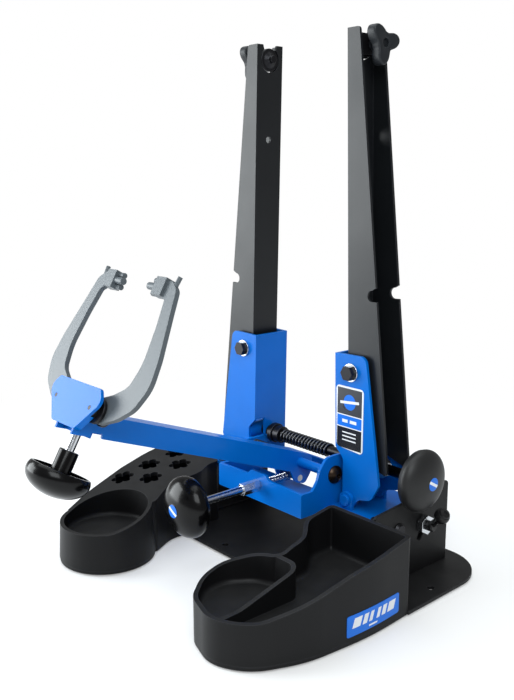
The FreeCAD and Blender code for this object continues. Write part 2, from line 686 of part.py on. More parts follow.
def tilt_pivot_bolts():
    shank = rod(TILT_BOLT_RADIUS, (TILT_PLATE_X, TILT_Y, TILT_Z), (1, 0, 0), WALL_OUTER + GAP - TILT_PLATE_X)
    low, high, height = TILT_BOLT_HEAD
    head = Part.makeCone(low, high, height, V(WALL_OUTER + GAP, TILT_Y, TILT_Z), V(1, 0, 0))
    bolt = fused([shank, head])
    return group([bolt, mirrored(bolt)])


def slot_bolts():
    """The clamp bolt for the lever on the right and a plain guide bolt on the left."""
    start = TILT_PLATE_X - CLAMP_BOLT_HOLD
    under = TILT_PLATE_X - SLOT_HEAD_HEIGHT
    head = rod(SLOT_HEAD_RADIUS, (under, SLOT_Y, SLOT_Z), (1, 0, 0), SLOT_HEAD_HEIGHT)
    shank = rod(SLOT_BOLT_RADIUS, (start, SLOT_Y, SLOT_Z), (1, 0, 0), CLAMP_BOLT_LENGTH)
    short = rod(SLOT_BOLT_RADIUS, (start, SLOT_Y, SLOT_Z), (1, 0, 0), GUIDE_BOLT_LENGTH)
    nut = hexagon(GUIDE_NUT_FLATS, (WALL_OUTER + GAP, SLOT_Y, SLOT_Z), (1, 0, 0), GUIDE_NUT_T)
    return group([fused([head, shank]), mirrored(fused([head, short, nut]))])


def tilt_clamp_nut():
    nut = hexagon(CLAMP_NUT_FLATS, (WALL_OUTER + GAP, SLOT_Y, SLOT_Z), (1, 0, 0), CLAMP_NUT_T)
    return nut.cut(rod(SLOT_BOLT_RADIUS + RUNNING_FIT, (TILT_PLATE_X, SLOT_Y, SLOT_Z), (1, 0, 0), 40))


def tilt_lever():
    start = V(WALL_OUTER + GAP + CLAMP_NUT_T, SLOT_Y, SLOT_Z)
    hub = rod(LEVER_HUB, tuple(start), (1, 0, 0), LEVER_HUB_LENGTH)
    end = V(*LEVER_BALL)
    root = start + V(LEVER_HUB_LENGTH / 2, 0, LEVER_HUB / 4)
    stem = Part.makeCone(LEVER_HUB - 1.5, LEVER_BALL_RADIUS - 2.5, (end - root).Length, root, end - root)
    body = fused([hub, stem, Part.makeSphere(LEVER_BALL_RADIUS, end)])
    depth = CLAMP_BOLT_LENGTH - CLAMP_BOLT_HOLD + CLAMP_BOLT_ROOM
    return body.cut(rod(SLOT_BOLT_RADIUS + RUNNING_FIT, (TILT_PLATE_X, SLOT_Y, SLOT_Z), (1, 0, 0), depth))


# ================================================================ uprights
def bracket_flange(y0, y1, front):
    low = [(PIVOT_X - 7.5, 112, 6), (BRACKET_INNER_LOW, BRACKET_LOW, 6)]
    if not front:
        low = [(BRACKET_INNER_LOW + 2, WEB_BOTTOM, 4)]
    top = [(BRACKET_INNER_TOP, BRACKET_TOP, 0), (BRACKET_OUTER_TOP, BRACKET_TOP + 1, 8)]
    return plate_xz(top + TOE + low, y0, y1)


def bracket():
    front = bracket_flange(BRACKET_FRONT, BRACKET_FRONT + SHEET, True)
    rear = bracket_flange(BRACKET_REAR - SHEET, BRACKET_REAR, False)
    web = [
        (BRACKET_INNER_TOP, BRACKET_TOP, 0), (BRACKET_INNER_TOP + SHEET, BRACKET_TOP, 0),
        (BRACKET_INNER_LOW + SHEET, BRACKET_LOW, 0), (BRACKET_INNER_LOW, BRACKET_LOW, 0),
    ]
    low = [
        (BRACKET_INNER_LOW, BRACKET_LOW + 2, 0), (BRACKET_INNER_LOW + SHEET, BRACKET_LOW + 2, 0),
        (BRACKET_INNER_LOW + SHEET + 1, WEB_BOTTOM, 0), (BRACKET_INNER_LOW + 1, WEB_BOTTOM, 0),
    ]
    upper_web = plate_xz(web, BRACKET_FRONT, BRACKET_REAR)
    lower_web = plate_xz(low, WEB_FRONT_LOW, BRACKET_REAR)
    shape = fused([front, rear, upper_web, lower_web])
    shape = shape.cut(rod(PIN_RADIUS + RUNNING_FIT, (PIVOT_X, -60, PIVOT_Z), (0, 1, 0), 120))
    shape = shape.cut(rod(BOLT_RADIUS, (BOLT_X, -60, BOLT_Z), (0, 1, 0), 120))
    blind = (PIVOT_X, BRACKET_FRONT + NUT_PIN_SKIN, LEAD_Z)
    shape = shape.cut(rod(NUT_PIN_RADIUS + RUNNING_FIT, blind, (0, 1, 0), 2 * BRACKET_REAR))
    return shape.cut(rod(WEB_HOLE_RADIUS, (BRACKET_INNER_TOP - 1, 0, LEAD_Z), (1, 0, 0), 8))


def bracket_hardware():
    """The long bolt with washers and nut, and the spacers beside the upright."""
    head_y = BRACKET_FRONT - WASHER_T
    nut_y = BRACKET_REAR + WASHER_T
    shank = rod(BOLT_RADIUS, (BOLT_X, head_y, BOLT_Z), (0, 1, 0), nut_y + BOLT_NUT_T + 1 - head_y)
    head = hexagon(BOLT_HEAD_FLATS, (BOLT_X, head_y, BOLT_Z), (0, -1, 0), BOLT_HEAD_HEIGHT)
    nut = hexagon(BOLT_HEAD_FLATS, (BOLT_X, nut_y, BOLT_Z), (0, 1, 0), BOLT_NUT_T).cut(shank)
    pieces = [fused([shank, head]), nut]
    for y in (head_y, BRACKET_REAR):
        pieces.append(ring(WASHER_RADIUS, BOLT_RADIUS, (BOLT_X, y, BOLT_Z), (0, 1, 0), WASHER_T))
    for y0, y1 in ((BRACKET_FRONT + SHEET, -UPRIGHT_HALF), (UPRIGHT_HALF, BRACKET_REAR - SHEET)):
        pieces.append(ring(WASHER_RADIUS, BOLT_RADIUS, (BOLT_X, y0, BOLT_Z), (0, 1, 0), y1 - y0))
        pieces.append(block(REST_X, REST_X + REST_WIDTH, y0, y1, REST_Z, REST_Z + REST_HEIGHT))
    return group(pieces)


def upright_flange(y0):
    corners = [
        (UPRIGHT_INNER_TOP, UPRIGHT_TOP, 0), (UPRIGHT_OUTER_TOP, UPRIGHT_TOP, 3),
        (UPRIGHT_OUTER_LOW, UPRIGHT_OUTER_LOW_Z, 3), (UPRIGHT_INNER_LOW, UPRIGHT_INNER_LOW_Z, 0),
    ]
    return plate_xz(corners, y0, y0 + UPRIGHT_SHEET)


def notch_cutter():
    wedge = [
        (NOTCH_X - 1, NOTCH_Z + NOTCH_RADIUS, 0), (NOTCH_X - 1, NOTCH_Z - NOTCH_RADIUS, 0),
        (NOTCH_X + 22, NOTCH_Z - NOTCH_RADIUS + 1, 0), (NOTCH_X + 22, NOTCH_Z + NOTCH_FLARE, 0),
    ]
    return fused([plate_xz(wedge, -30, 30), rod(NOTCH_RADIUS, (NOTCH_X - 1, -30, NOTCH_Z), (0, 1, 0), 60)])


def upright():
    web = [
        (UPRIGHT_INNER_TOP, UPRIGHT_TOP, 0), (UPRIGHT_INNER_TOP + UPRIGHT_SHEET, UPRIGHT_TOP, 0),
        (UPRIGHT_INNER_LOW + UPRIGHT_SHEET, UPRIGHT_INNER_LOW_Z - 1, 0),
        (UPRIGHT_INNER_LOW, UPRIGHT_INNER_LOW_Z, 0),
    ]
    shape = fused([
        plate_xz(web, -UPRIGHT_HALF, UPRIGHT_HALF), upright_flange(-UPRIGHT_HALF),
        upright_flange(UPRIGHT_HALF - UPRIGHT_SHEET),
    ])
    neck = [
        (-NECK_HALF, AXLE_Z, 0), (NECK_HALF, AXLE_Z, 0), (NECK_HALF, UPRIGHT_TOP - MOUTH_DEPTH, 0),
        (MOUTH_HALF, UPRIGHT_TOP + 1, 0), (-MOUTH_HALF, UPRIGHT_TOP + 1, 0),
        (-NECK_HALF, UPRIGHT_TOP - MOUTH_DEPTH, 0),
    ]
    start = UPRIGHT_INNER_TOP - 5
    shape = shape.cut(plate_yz(neck, start, PAD_X + PAD_T + 1))
    shape = shape.cut(rod(SEAT_RADIUS, (start, 0, AXLE_Z), (1, 0, 0), PAD_X + PAD_T + 1 - start))
    shape = shape.cut(rod(SIGHT_HOLE_RADIUS, (start, 0, SIGHT_HOLE_Z), (1, 0, 0), UPRIGHT_HALF))
    shape = shape.cut(rod(BOLT_RADIUS, (BOLT_X, -60, BOLT_Z), (0, 1, 0), 120))
    return shape.cut(notch_cutter())


def clamp_bridge():
    half = UPRIGHT_HALF - UPRIGHT_SHEET
    low = AXLE_Z - BRIDGE_HEIGHT / 2
    shape = block(BRIDGE_X, BRIDGE_X + BRIDGE_T, -half, half, low, low + BRIDGE_HEIGHT)
    return shape.cut(rod(CLAMP_RADIUS + RUNNING_FIT, (BRIDGE_X - 1, 0, AXLE_Z), (1, 0, 0), BRIDGE_T + 2))


def clamp_pad():
    disc = rod(PAD_RADIUS, (PAD_X, 0, AXLE_Z), (1, 0, 0), PAD_T)
    slope = Part.makeCone(PAD_RADIUS - 3, PAD_TIP_RADIUS, 3, V(PAD_X, 0, AXLE_Z), V(-1, 0, 0))
    tip = rod(PAD_TIP_RADIUS, (PAD_TIP_X, 0, AXLE_Z), (1, 0, 0), PAD_X - PAD_TIP_X)
    return fused([disc, slope, tip])


def clamp_knob():
    start = PAD_X + PAD_T
    stem = rod(CLAMP_RADIUS, (start, 0, AXLE_Z), (1, 0, 0), CLAMP_KNOB_X + 2 - start)
    pieces = [stem, rod(CLAMP_CORE, (CLAMP_KNOB_X, 0, AXLE_Z), (1, 0, 0), CLAMP_KNOB_T)]
    for angle in CLAMP_ANGLES:
        turn = math.radians(angle)
        y, z = CLAMP_REACH * math.cos(turn), AXLE_Z + CLAMP_REACH * math.sin(turn)
        pieces.append(rod(CLAMP_LOBE, (CLAMP_KNOB_X, y, z), (1, 0, 0), CLAMP_KNOB_T))
    knob = fused(pieces)
    start = CLAMP_KNOB_X + CLAMP_KNOB_T - CLAMP_POCKET_DEPTH
    return knob.cut(rod(CLAMP_POCKET_RADIUS, (start, 0, AXLE_Z), (1, 0, 0), CLAMP_KNOB_T))


def bracket_label():
    return plate_xz(BRACKET_LABEL, BRACKET_FRONT - LABEL_THICKNESS, BRACKET_FRONT)


def tray_label():
    """A thin plate bent round the outer wall of the right tray."""
    skin = flat(RIGHT_TRAY).makeOffset2D(LABEL_THICKNESS).extrude(V(0, 0, 100))
    skin = skin.cut(plate_xy(RIGHT_TRAY, -1, 101))
    return skin.common(plate_yz(TRAY_LABEL, 120, 200))


# ================================================================ lead screw
def screw_nut():
    y0 = BRACKET_FRONT + SHEET + GAP
    y1 = BRACKET_REAR - SHEET - GAP
    barrel = rod(NUT_RADIUS, (PIVOT_X, y0, LEAD_Z), (0, 1, 0), y1 - y0)
    front = BRACKET_FRONT + NUT_PIN_SKIN
    pins = rod(NUT_PIN_RADIUS, (PIVOT_X, front, LEAD_Z), (0, 1, 0), BRACKET_REAR - front)
    return fused([barrel, pins]).cut(rod(LEAD_RADIUS + LEAD_FIT, (50, 0, LEAD_Z), (1, 0, 0), 60))


def lead_screw():
    return rod(LEAD_RADIUS, (LEAD_LEFT, 0, LEAD_Z), (1, 0, 0), MAIN_KNOB_X + MAIN_KNOB_HOLD - LEAD_LEFT)


def lead_collars():
    rings = []
    for x0, x1, radius in (BUSHING, COLLAR):
        rings.append(ring(radius, LEAD_RADIUS, (x0, 0, LEAD_Z), (1, 0, 0), x1 - x0))
    return group(rings)


def lead_spring():
    mean = LEAD_RADIUS + LEAD_SPRING_WIRE + LEAD_SPRING_FIT
    x0 = COLLAR[1] + LEAD_SPRING_WIRE
    length = LEAD_SPRING_END - LEAD_SPRING_WIRE - x0
    return facing(coil(mean, LEAD_SPRING_WIRE, length, LEAD_SPRING_TURNS), (x0, 0, LEAD_Z), (1, 0, 0))


def lead_washer():
    x0, x1, radius = LEAD_WASHER
    dome = Part.makeCone(radius, radius - 3.5, x1 - x0 - 3, V(x0 + 3, 0, LEAD_Z), V(1, 0, 0))
    disc = rod(radius, (x0, 0, LEAD_Z), (1, 0, 0), 3)
    return fused([disc, dome]).cut(rod(LEAD_RADIUS, (x0 - 1, 0, LEAD_Z), (1, 0, 0), 20))


def main_knob():
    knob = mushroom(MAIN_KNOB_RADIUS, MAIN_KNOB_DEPTH, KNOB_HUB, MAIN_KNOB_NECK, LEAD_RADIUS)
    knob = knob.cut(moved(badge(), V(0, 0, MAIN_KNOB_DEPTH - BADGE_T)))
    return facing(knob, (MAIN_KNOB_X, 0, LEAD_Z), (1, 0, 0))


def main_knob_badge():
    disc = rod(BADGE_RADIUS, (0, 0, MAIN_KNOB_DEPTH - BADGE_T), (0, 0, 1), BADGE_T)
    return facing(disc, (MAIN_KNOB_X, 0, LEAD_Z), (1, 0, 0))


# ================================================================ caliper arm
def caliper_arm():
    outer = plate_yz(ARM_SIDE, -ARM_HALF, ARM_HALF)
    inner_half = ARM_HALF - ARM_SHEET
    inner = block(-inner_half, inner_half, -300, 30, -40, ARM_TOP - ARM_SHEET)
    arm = outer.cut(inner)
    arm = arm.cut(rod(TUBE_RADIUS, (-30, 0, 0), (1, 0, 0), 60))
    heel = heel_place()
    arm = arm.cut(rod(HEEL_RADIUS, (-30, heel.y, heel.z), (1, 0, 0), 60))
    arm = arm.cut(arm_plane(HEAD_BACK, 60))
    return in_arm(arm)


def heel_place():
    """The heel roller straight below the pivot, in the arm's frame."""
    turn = FreeCAD.Rotation(V(1, 0, 0), ARM_RISE)
    return turn.multVec(V(0, 0, -HEEL_DROP))


def heel_roller():
    return rod(HEEL_RADIUS, (-ARM_HALF, ARM_Y, ARM_Z - HEEL_DROP), (1, 0, 0), 2 * ARM_HALF)


def arm_pivot_tube():
    """The tube the arm turns on, with its end cap."""
    tube = rod(TUBE_RADIUS, (TUBE_LEFT, ARM_Y, ARM_Z), (1, 0, 0), TUBE_RIGHT - TUBE_LEFT)
    cap = rod(TUBE_CAP_RADIUS, (TUBE_LEFT, ARM_Y, ARM_Z), (1, 0, 0), TUBE_CAP)
    start = (TUBE_RIGHT - ARM_BOLT_GRIP - 2, ARM_Y, ARM_Z)
    return fused([tube, cap]).cut(rod(ARM_BOLT_RADIUS + RUNNING_FIT, start, (1, 0, 0), 2 * ARM_BOLT_GRIP))


def arm_pivot_bolt():
    start = TUBE_RIGHT - ARM_BOLT_GRIP
    shank = rod(ARM_BOLT_RADIUS, (start, ARM_Y, ARM_Z), (1, 0, 0), FRONT_HALF - start)
    ball = Part.makeSphere(ARM_BOLT_HEAD + 2, V(FRONT_HALF - 5, ARM_Y, ARM_Z))
    head = ball.common(rod(ARM_BOLT_HEAD, (FRONT_HALF, ARM_Y, ARM_Z), (1, 0, 0), 2 * ARM_BOLT_HEAD))
    socket = hexagon(ARM_BOLT_SOCKET, (FRONT_HALF + 3, ARM_Y, ARM_Z), (1, 0, 0), ARM_BOLT_HEAD)
    return fused([shank, head]).cut(socket)


def arm_spring():
    """The long torsion spring on the tube, between the left ear and the arm."""
    body = coil(SPRING_MEAN, SPRING_WIRE, SPRING_RIGHT - SPRING_LEFT, SPRING_TURNS)
    return facing(body, (SPRING_LEFT, ARM_Y, ARM_Z), (1, 0, 0))


def head_plate():
    """The plate before the jaws, with a bent rim along its lower edges."""
    plate = plate_xz(HEAD_OUTLINE, -HEAD_FRONT, -HEAD_RETURN)
    hollow = flat(HEAD_OUTLINE).makeOffset2D(-RETURN_SHEET).extrude(V(0, 0, HEAD_BACK))
    hollow = placed(hollow, FreeCAD.Placement(V(0, 0, 0), FreeCAD.Rotation(V(1, 0, 0), 90)))
    above = block(-SKY, SKY, -HEAD_BACK, 0, RETURN_TOP, SKY)
    passage = block(-ARM_HALF - GAP, ARM_HALF + GAP, -HEAD_BACK, 0, -SKY, RETURN_TOP)
    plate = plate.cut(hollow).cut(above).cut(passage)
    for x in (-JAW_PIVOT_X, JAW_PIVOT_X):
        start = (x, -HEAD_FRONT - 1, JAW_PIVOT_H)
        plate = plate.cut(rod(JAW_PIVOT_RADIUS / 2, start, (0, 1, 0), HEAD_FRONT))
    return in_head(plate)


def jaw_studs():
    """Shouldered studs of the jaws with their rear nuts."""
    studs = []
    back = JAW_T / 2 + GAP + JAW_WASHER_T
    for x in (-JAW_PIVOT_X, JAW_PIVOT_X):
        stud = rod(JAW_PIVOT_RADIUS, (x, -HEAD_BACK, JAW_PIVOT_H), (0, 1, 0), HEAD_BACK + back + 1)
        tip = rod(JAW_PIVOT_RADIUS / 2, (x, -HEAD_FRONT, JAW_PIVOT_H), (0, 1, 0), HEAD_FRONT - HEAD_BACK + 1)
        nut = hexagon(JAW_NUT_FLATS, (x, back, JAW_PIVOT_H), (0, 1, 0), JAW_NUT_T)
        studs.append(in_head(fused([stud, tip, nut])))
    return group(studs)


def jaw_washers():
    """Wide washers before and behind each jaw, and the narrow spacer behind the plate."""
    rings = []
    gap = JAW_T / 2 + GAP
    for x in (-JAW_PIVOT_X, JAW_PIVOT_X):
        spot = (x, -gap - JAW_WASHER_T, JAW_PIVOT_H)
        rings.append(ring(JAW_WASHER_RADIUS, JAW_PIVOT_RADIUS, spot, (0, 1, 0), JAW_WASHER_T))
        spot = (x, gap, JAW_PIVOT_H)
        rings.append(ring(JAW_WASHER_RADIUS, JAW_PIVOT_RADIUS, spot, (0, 1, 0), JAW_WASHER_T))
        spot = (x, -HEAD_BACK, JAW_PIVOT_H)
        length = HEAD_BACK - gap - JAW_WASHER_T
        rings.append(ring(JAW_PIVOT_RADIUS + JAW_SPACER_WALL, JAW_PIVOT_RADIUS, spot, (0, 1, 0), length))
    return group([in_head(shape) for shape in rings])


def jaw():
    body = plate_xz(JAW_OUTLINE, -JAW_T / 2, JAW_T / 2)
    tail = [
        (TAIL_ROOT_X, TAIL_ROOT_TOP, 0), (TAIL_X, TAIL_H + TAIL_RADIUS, 0),
        (TAIL_X, TAIL_H - TAIL_RADIUS, 0), (TAIL_ROOT_X, TAIL_ROOT_LOW, 0),
    ]
    tip = rod(TAIL_RADIUS, (TAIL_X, -JAW_T / 2, TAIL_H), (0, 1, 0), JAW_T)
    shape = fused([body, plate_xz(tail, -JAW_T / 2, JAW_T / 2), tip])
    shape = shape.cut(rod(JAW_PIVOT_RADIUS + RUNNING_FIT, (JAW_PIVOT_X, -30, JAW_PIVOT_H), (0, 1, 0), 60))
    return shape


def jaw_tip():
    """Tip block clamped over the jaw's end, its feelers and the post on the jaw."""
    body = block(TIP_INNER, TIP_OUTER, -TIP_HALF, TIP_HALF, TIP_LOW, TIP_HIGH)
    middle = (TIP_LOW + TIP_HIGH) / 2
    pieces = [body]
    for x, c, h, radius in FEELERS:
        pieces.append(rod(radius, (x, c, middle + h), (1, 0, 0), TIP_INNER + 1 - x))
    post = rod(POST_RADIUS, (POST_X, 0, POST_H), (0.15, 0, 1), POST_HEIGHT).cut(jaw())
    return fused(pieces), post


def jaw_screw_bore():
    return rod(JAW_SCREW_RADIUS + RUNNING_FIT, (0, -AXIS_C, JAW_RIM), (0, 0, 1), -JAW_RIM + HEAD_FRONT)


def jaw_spool():
    """Grooved spool on the jaw screw that the tails of both jaws sit in."""
    low = TAIL_H - GROOVE_HALF - SPOOL_LIP
    core = rod(SPOOL_CORE, (0, -AXIS_C, low), (0, 0, 1), 2 * (GROOVE_HALF + SPOOL_LIP))
    lower = rod(SPOOL_FLANGE, (0, -AXIS_C, low), (0, 0, 1), SPOOL_LIP)
    upper = rod(SPOOL_FLANGE, (0, -AXIS_C, TAIL_H + GROOVE_HALF), (0, 0, 1), SPOOL_LIP)
    return in_head(fused([core, lower, upper]).cut(jaw_screw_bore()))


def jaw_nut_block():
    half = ARM_HALF - ARM_SHEET
    near, far = -AXIS_C - NUT_BLOCK_HALF, -AXIS_C + NUT_BLOCK_HALF
    body = block(-half, half, near, far, NUT_BLOCK_LOW, NUT_BLOCK_TOP)
    return in_head(body.cut(jaw_screw_bore()))


def jaw_screw():
    start = JAW_RIM + SCREW_IN_KNOB
    return in_head(rod(JAW_SCREW_RADIUS, (0, -AXIS_C, start), (0, 0, 1), JAW_SCREW_TOP - start))


def jaw_knob():
    knob = mushroom(JAW_KNOB_RADIUS, JAW_KNOB_DEPTH, JAW_KNOB_HUB, JAW_HUB_TOP - JAW_RIM, JAW_SCREW_RADIUS)
    return in_head(facing(knob, (0, -AXIS_C, JAW_RIM), (0, 0, -1)))


# ================================================================ height screw
def thrust_cap():
    y1 = ARM_Y - HEEL_RADIUS - HEEL_CLEARANCE
    return rod(CAP_RADIUS, (0, y1 - CAP_LENGTH, SCREW_Z), (0, 1, 0), CAP_LENGTH)


def height_screw():
    start = KNOB_RIM_Y - SCREW_IN_KNOB
    end = ARM_Y - HEEL_RADIUS - HEEL_CLEARANCE - CAP_LENGTH
    return rod(ROD_RADIUS, (0, start, SCREW_Z), (0, 1, 0), end - start)


def screw_sleeve():
    body = hexagon(SLEEVE_FLATS, (0, SLEEVE_FRONT, SCREW_Z), (0, 1, 0), FRAME_FRONT - SLEEVE_FRONT)
    return body.cut(rod(ROD_RADIUS + RUNNING_FIT, (0, SLEEVE_FRONT - 1, SCREW_Z), (0, 1, 0), 40))


def height_knob():
    knob = mushroom(KNOB_RADIUS, KNOB_DEPTH, KNOB_HUB, KNOB_NECK, ROD_RADIUS)
    knob = knob.cut(moved(badge(), V(0, 0, KNOB_DEPTH - BADGE_T)))
    return facing(knob, (0, KNOB_RIM_Y, SCREW_Z), (0, -1, 0))


def height_knob_badge():
    disc = rod(BADGE_RADIUS, (0, 0, KNOB_DEPTH - BADGE_T), (0, 0, 1), BADGE_T)
    return facing(disc, (0, KNOB_RIM_Y, SCREW_Z), (0, -1, 0))


def pivot_pins():
    """Headed pins the uprights lean on."""
    y0 = BRACKET_FRONT - GAP - SHEET
    y1 = BRACKET_REAR + GAP + SHEET
    shank = rod(PIN_RADIUS, (PIVOT_X, y0, PIVOT_Z), (0, 1, 0), y1 + PIN_CLIP_T + 0.5 - y0)
    head = rod(PIN_HEAD_RADIUS, (PIVOT_X, y0 - PIN_HEAD_T, PIVOT_Z), (0, 1, 0), PIN_HEAD_T)
    clip = rod(PIN_CLIP_RADIUS, (PIVOT_X, y1, PIVOT_Z), (0, 1, 0), PIN_CLIP_T)
    pin = fused([shank, head, clip])
    return group([pin, mirrored(pin)])


# ================================================================ assembly
def all_parts():
    right_tip, right_post = jaw_tip()
    tips = group([in_head(right_tip), in_head(right_post)])
    right_jaw = in_head(jaw())
    wall = side_wall()
    tilt = tilt_plate()
    boot = bracket()
    boot_hardware = bracket_hardware()
    column = upright()
    bridge = clamp_bridge()
    pad = clamp_pad()
    knob = clamp_knob()
    nut = screw_nut()
    return {
        "base_plate": base_plate(),
        "rubber_feet": rubber_feet(),
        "left_tray": left_tray(),
        "right_tray": right_tray(),
        "base_screws": base_screws(),
        "tray_label": tray_label(),
        "left_side_wall": mirrored(wall),
        "right_side_wall": wall,
        "main_frame": main_frame(),
        "left_tilt_plate": mirrored(tilt),
        "right_tilt_plate": tilt,
        "frame_screws": frame_screws(),
        "tilt_pivot_bolts": tilt_pivot_bolts(),
        "slot_bolts": slot_bolts(),
        "upright_pivot_pins": pivot_pins(),
        "arm_pivot_bolt": arm_pivot_bolt(),
        "screw_sleeve": screw_sleeve(),
        "tilt_clamp_nut": tilt_clamp_nut(),
        "tilt_lever": tilt_lever(),
        "left_bracket": mirrored(boot),
        "right_bracket": boot,
        "left_bracket_hardware": mirrored(boot_hardware),
        "right_bracket_hardware": boot_hardware,
        "left_upright": mirrored(column),
        "right_upright": column,
        "left_clamp_bridge": mirrored(bridge),
        "right_clamp_bridge": bridge,
        "left_clamp_pad": mirrored(pad),
        "right_clamp_pad": pad,
        "left_clamp_knob": mirrored(knob),
        "right_clamp_knob": knob,
        "bracket_label": bracket_label(),
        "left_screw_nut": mirrored(nut),
        "right_screw_nut": nut,
        "lead_screw": lead_screw(),
        "lead_collars": lead_collars(),
        "lead_spring": lead_spring(),
        "lead_washer": lead_washer(),
        "main_knob": main_knob(),
        "main_knob_badge": main_knob_badge(),
        "caliper_arm": caliper_arm(),
        "heel_roller": heel_roller(),
        "arm_pivot_tube": arm_pivot_tube(),
        "arm_spring": arm_spring(),
        "head_plate": head_plate(),
        "jaw_studs": jaw_studs(),
        "jaw_washers": jaw_washers(),
        "jaw_nut_block": jaw_nut_block(),
        "left_jaw": mirrored(right_jaw),
        "right_jaw": right_jaw,
        "left_jaw_tip": mirrored(tips),
        "right_jaw_tip": tips,
        "jaw_spool": jaw_spool(),
        "jaw_screw": jaw_screw(),
        "jaw_knob": jaw_knob(),
        "thrust_cap": thrust_cap(),
        "height_screw": height_screw(),
        "height_knob": height_knob(),
        "height_knob_badge": height_knob_badge(),
    }


def main():
    os.makedirs("parts", exist_ok=True)
    for name, shape in all_parts().items():
        shape.exportStep("parts/" + name + ".step")
        print(name, shape.isValid(), len(shape.Solids), round(shape.Volume, 1))


main()
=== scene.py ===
"""Bicycle wheel truing stand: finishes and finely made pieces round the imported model."""
from __future__ import annotations

import json
import logging
import math
from dataclasses import dataclass, field
from enum import Enum
from typing import Callable, Sequence

import bmesh
import bpy
from mathutils import Matrix, Vector


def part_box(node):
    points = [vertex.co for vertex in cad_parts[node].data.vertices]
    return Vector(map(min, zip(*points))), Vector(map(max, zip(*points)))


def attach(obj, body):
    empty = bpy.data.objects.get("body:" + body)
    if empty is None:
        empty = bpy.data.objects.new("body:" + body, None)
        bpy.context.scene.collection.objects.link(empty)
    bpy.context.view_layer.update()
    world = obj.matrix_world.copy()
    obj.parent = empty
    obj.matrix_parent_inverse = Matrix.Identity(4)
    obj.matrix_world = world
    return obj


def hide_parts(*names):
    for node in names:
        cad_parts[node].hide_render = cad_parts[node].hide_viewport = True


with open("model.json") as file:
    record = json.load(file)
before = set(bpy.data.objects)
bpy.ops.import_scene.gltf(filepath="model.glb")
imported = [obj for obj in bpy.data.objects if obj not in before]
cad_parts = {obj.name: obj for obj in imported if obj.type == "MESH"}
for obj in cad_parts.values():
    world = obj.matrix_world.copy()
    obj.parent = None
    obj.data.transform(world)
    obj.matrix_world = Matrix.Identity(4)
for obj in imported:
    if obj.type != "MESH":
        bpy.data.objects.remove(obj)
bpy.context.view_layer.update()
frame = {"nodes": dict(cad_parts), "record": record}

LOG = logging.getLogger("truing_stand")
MM = 0.001
WELD = 2e-6
Profile = list[tuple[float, float]]
Tone = tuple[float, float, float]
Field = tuple[float, float, float, float, "Surface"]
SOCKETS = {float: "NodeSocketFloat", int: "NodeSocketInt"}

# looks shared by all finishes: noise cells per metre, then strengths
BROAD_CELLS, WEAR_CELLS, DUST_CELLS = 22.0, 160.0, 60.0
EDGE_GAIN, EDGE_FLOOR = 5.0, 0.35
DUST_TONE: Tone = (0.42, 0.42, 0.41)
DUST_FALL = 3.0
DARKER, LIGHTER = 0.86, 1.12
COAT_ROUGHNESS = 0.12
BUMP_STRENGTH = 0.6

# rounding: angle in degrees up to which faces are one, angle from which an edge is rounded, steps
ONE_FACE_DEG, ROUND_DEG, ROUND_STEPS = 0.5, 30.0, 2
SAME_LEVEL = 1e-5


# ---------------------------------------------------------------- finishes
class Surface(Enum):
    """The kinds of surface on the stand."""

    BLUE = "blue_enamel"
    POWDER = "satin_black_powder"
    MOULDED = "matte_moulded_black"
    GLOSS = "gloss_moulded_black"
    SATIN = "satin_moulded_black"
    MATTE_KNOB = "charcoal_knob"
    CLAMP = "cast_grey_knob"
    TURNED = "turned_steel"
    ZINC = "bright_zinc"
    OXIDE = "black_oxide_steel"
    BRONZE = "dark_bronze"
    SPRING = "oiled_spring_steel"
    THREAD = "dark_threaded_steel"
    JAW = "satin_plated_jaw"
    RUBBER = "foot_rubber"
    PRINT_BLUE = "printed_blue_film"
    PRINT_WHITE = "printed_white_film"
    PRINT_DARK = "printed_dark_film"
    PRINT_GREY = "printed_grey_film"


@dataclass(frozen=True)
class Finish:
    """How one surface looks, in plain numbers.

    Args:
        colour: Linear base colour.
        worn: Colour where edges are rubbed.
        roughness: Middle roughness.
        spread: How far the roughness wanders over the surface.
        metallic: 1 for bare metal.
        specular: Specular level of the shader.
        coat: Weight of a clear lacquer coat.
        grain: Grain cells per metre.
        relief: Height of the grain in metres.
        streak: Stretch of the grain along the piece, 1 for none.
        wear: Strength of the edge wear.
        wear_radius: Reach of the edge wear in metres.
        dust: Strength of the dust on upward faces.
    """

    colour: Tone
    worn: Tone
    roughness: float
    spread: float = 0.06
    metallic: float = 0.0
    specular: float = 0.3
    coat: float = 0.0
    grain: float = 900.0
    relief: float = 0.00002
    streak: float = 1.0
    wear: float = 0.3
    wear_radius: float = 0.0007
    dust: float = 0.03


def printed(colour: Tone, worn: Tone, roughness: float = 0.30) -> Finish:
    """A thin printed film."""
    return Finish(
        colour, worn, roughness, 0.03, grain=700.0, relief=0.000004, wear=0.05, wear_radius=0.0003, dust=0.01
    )


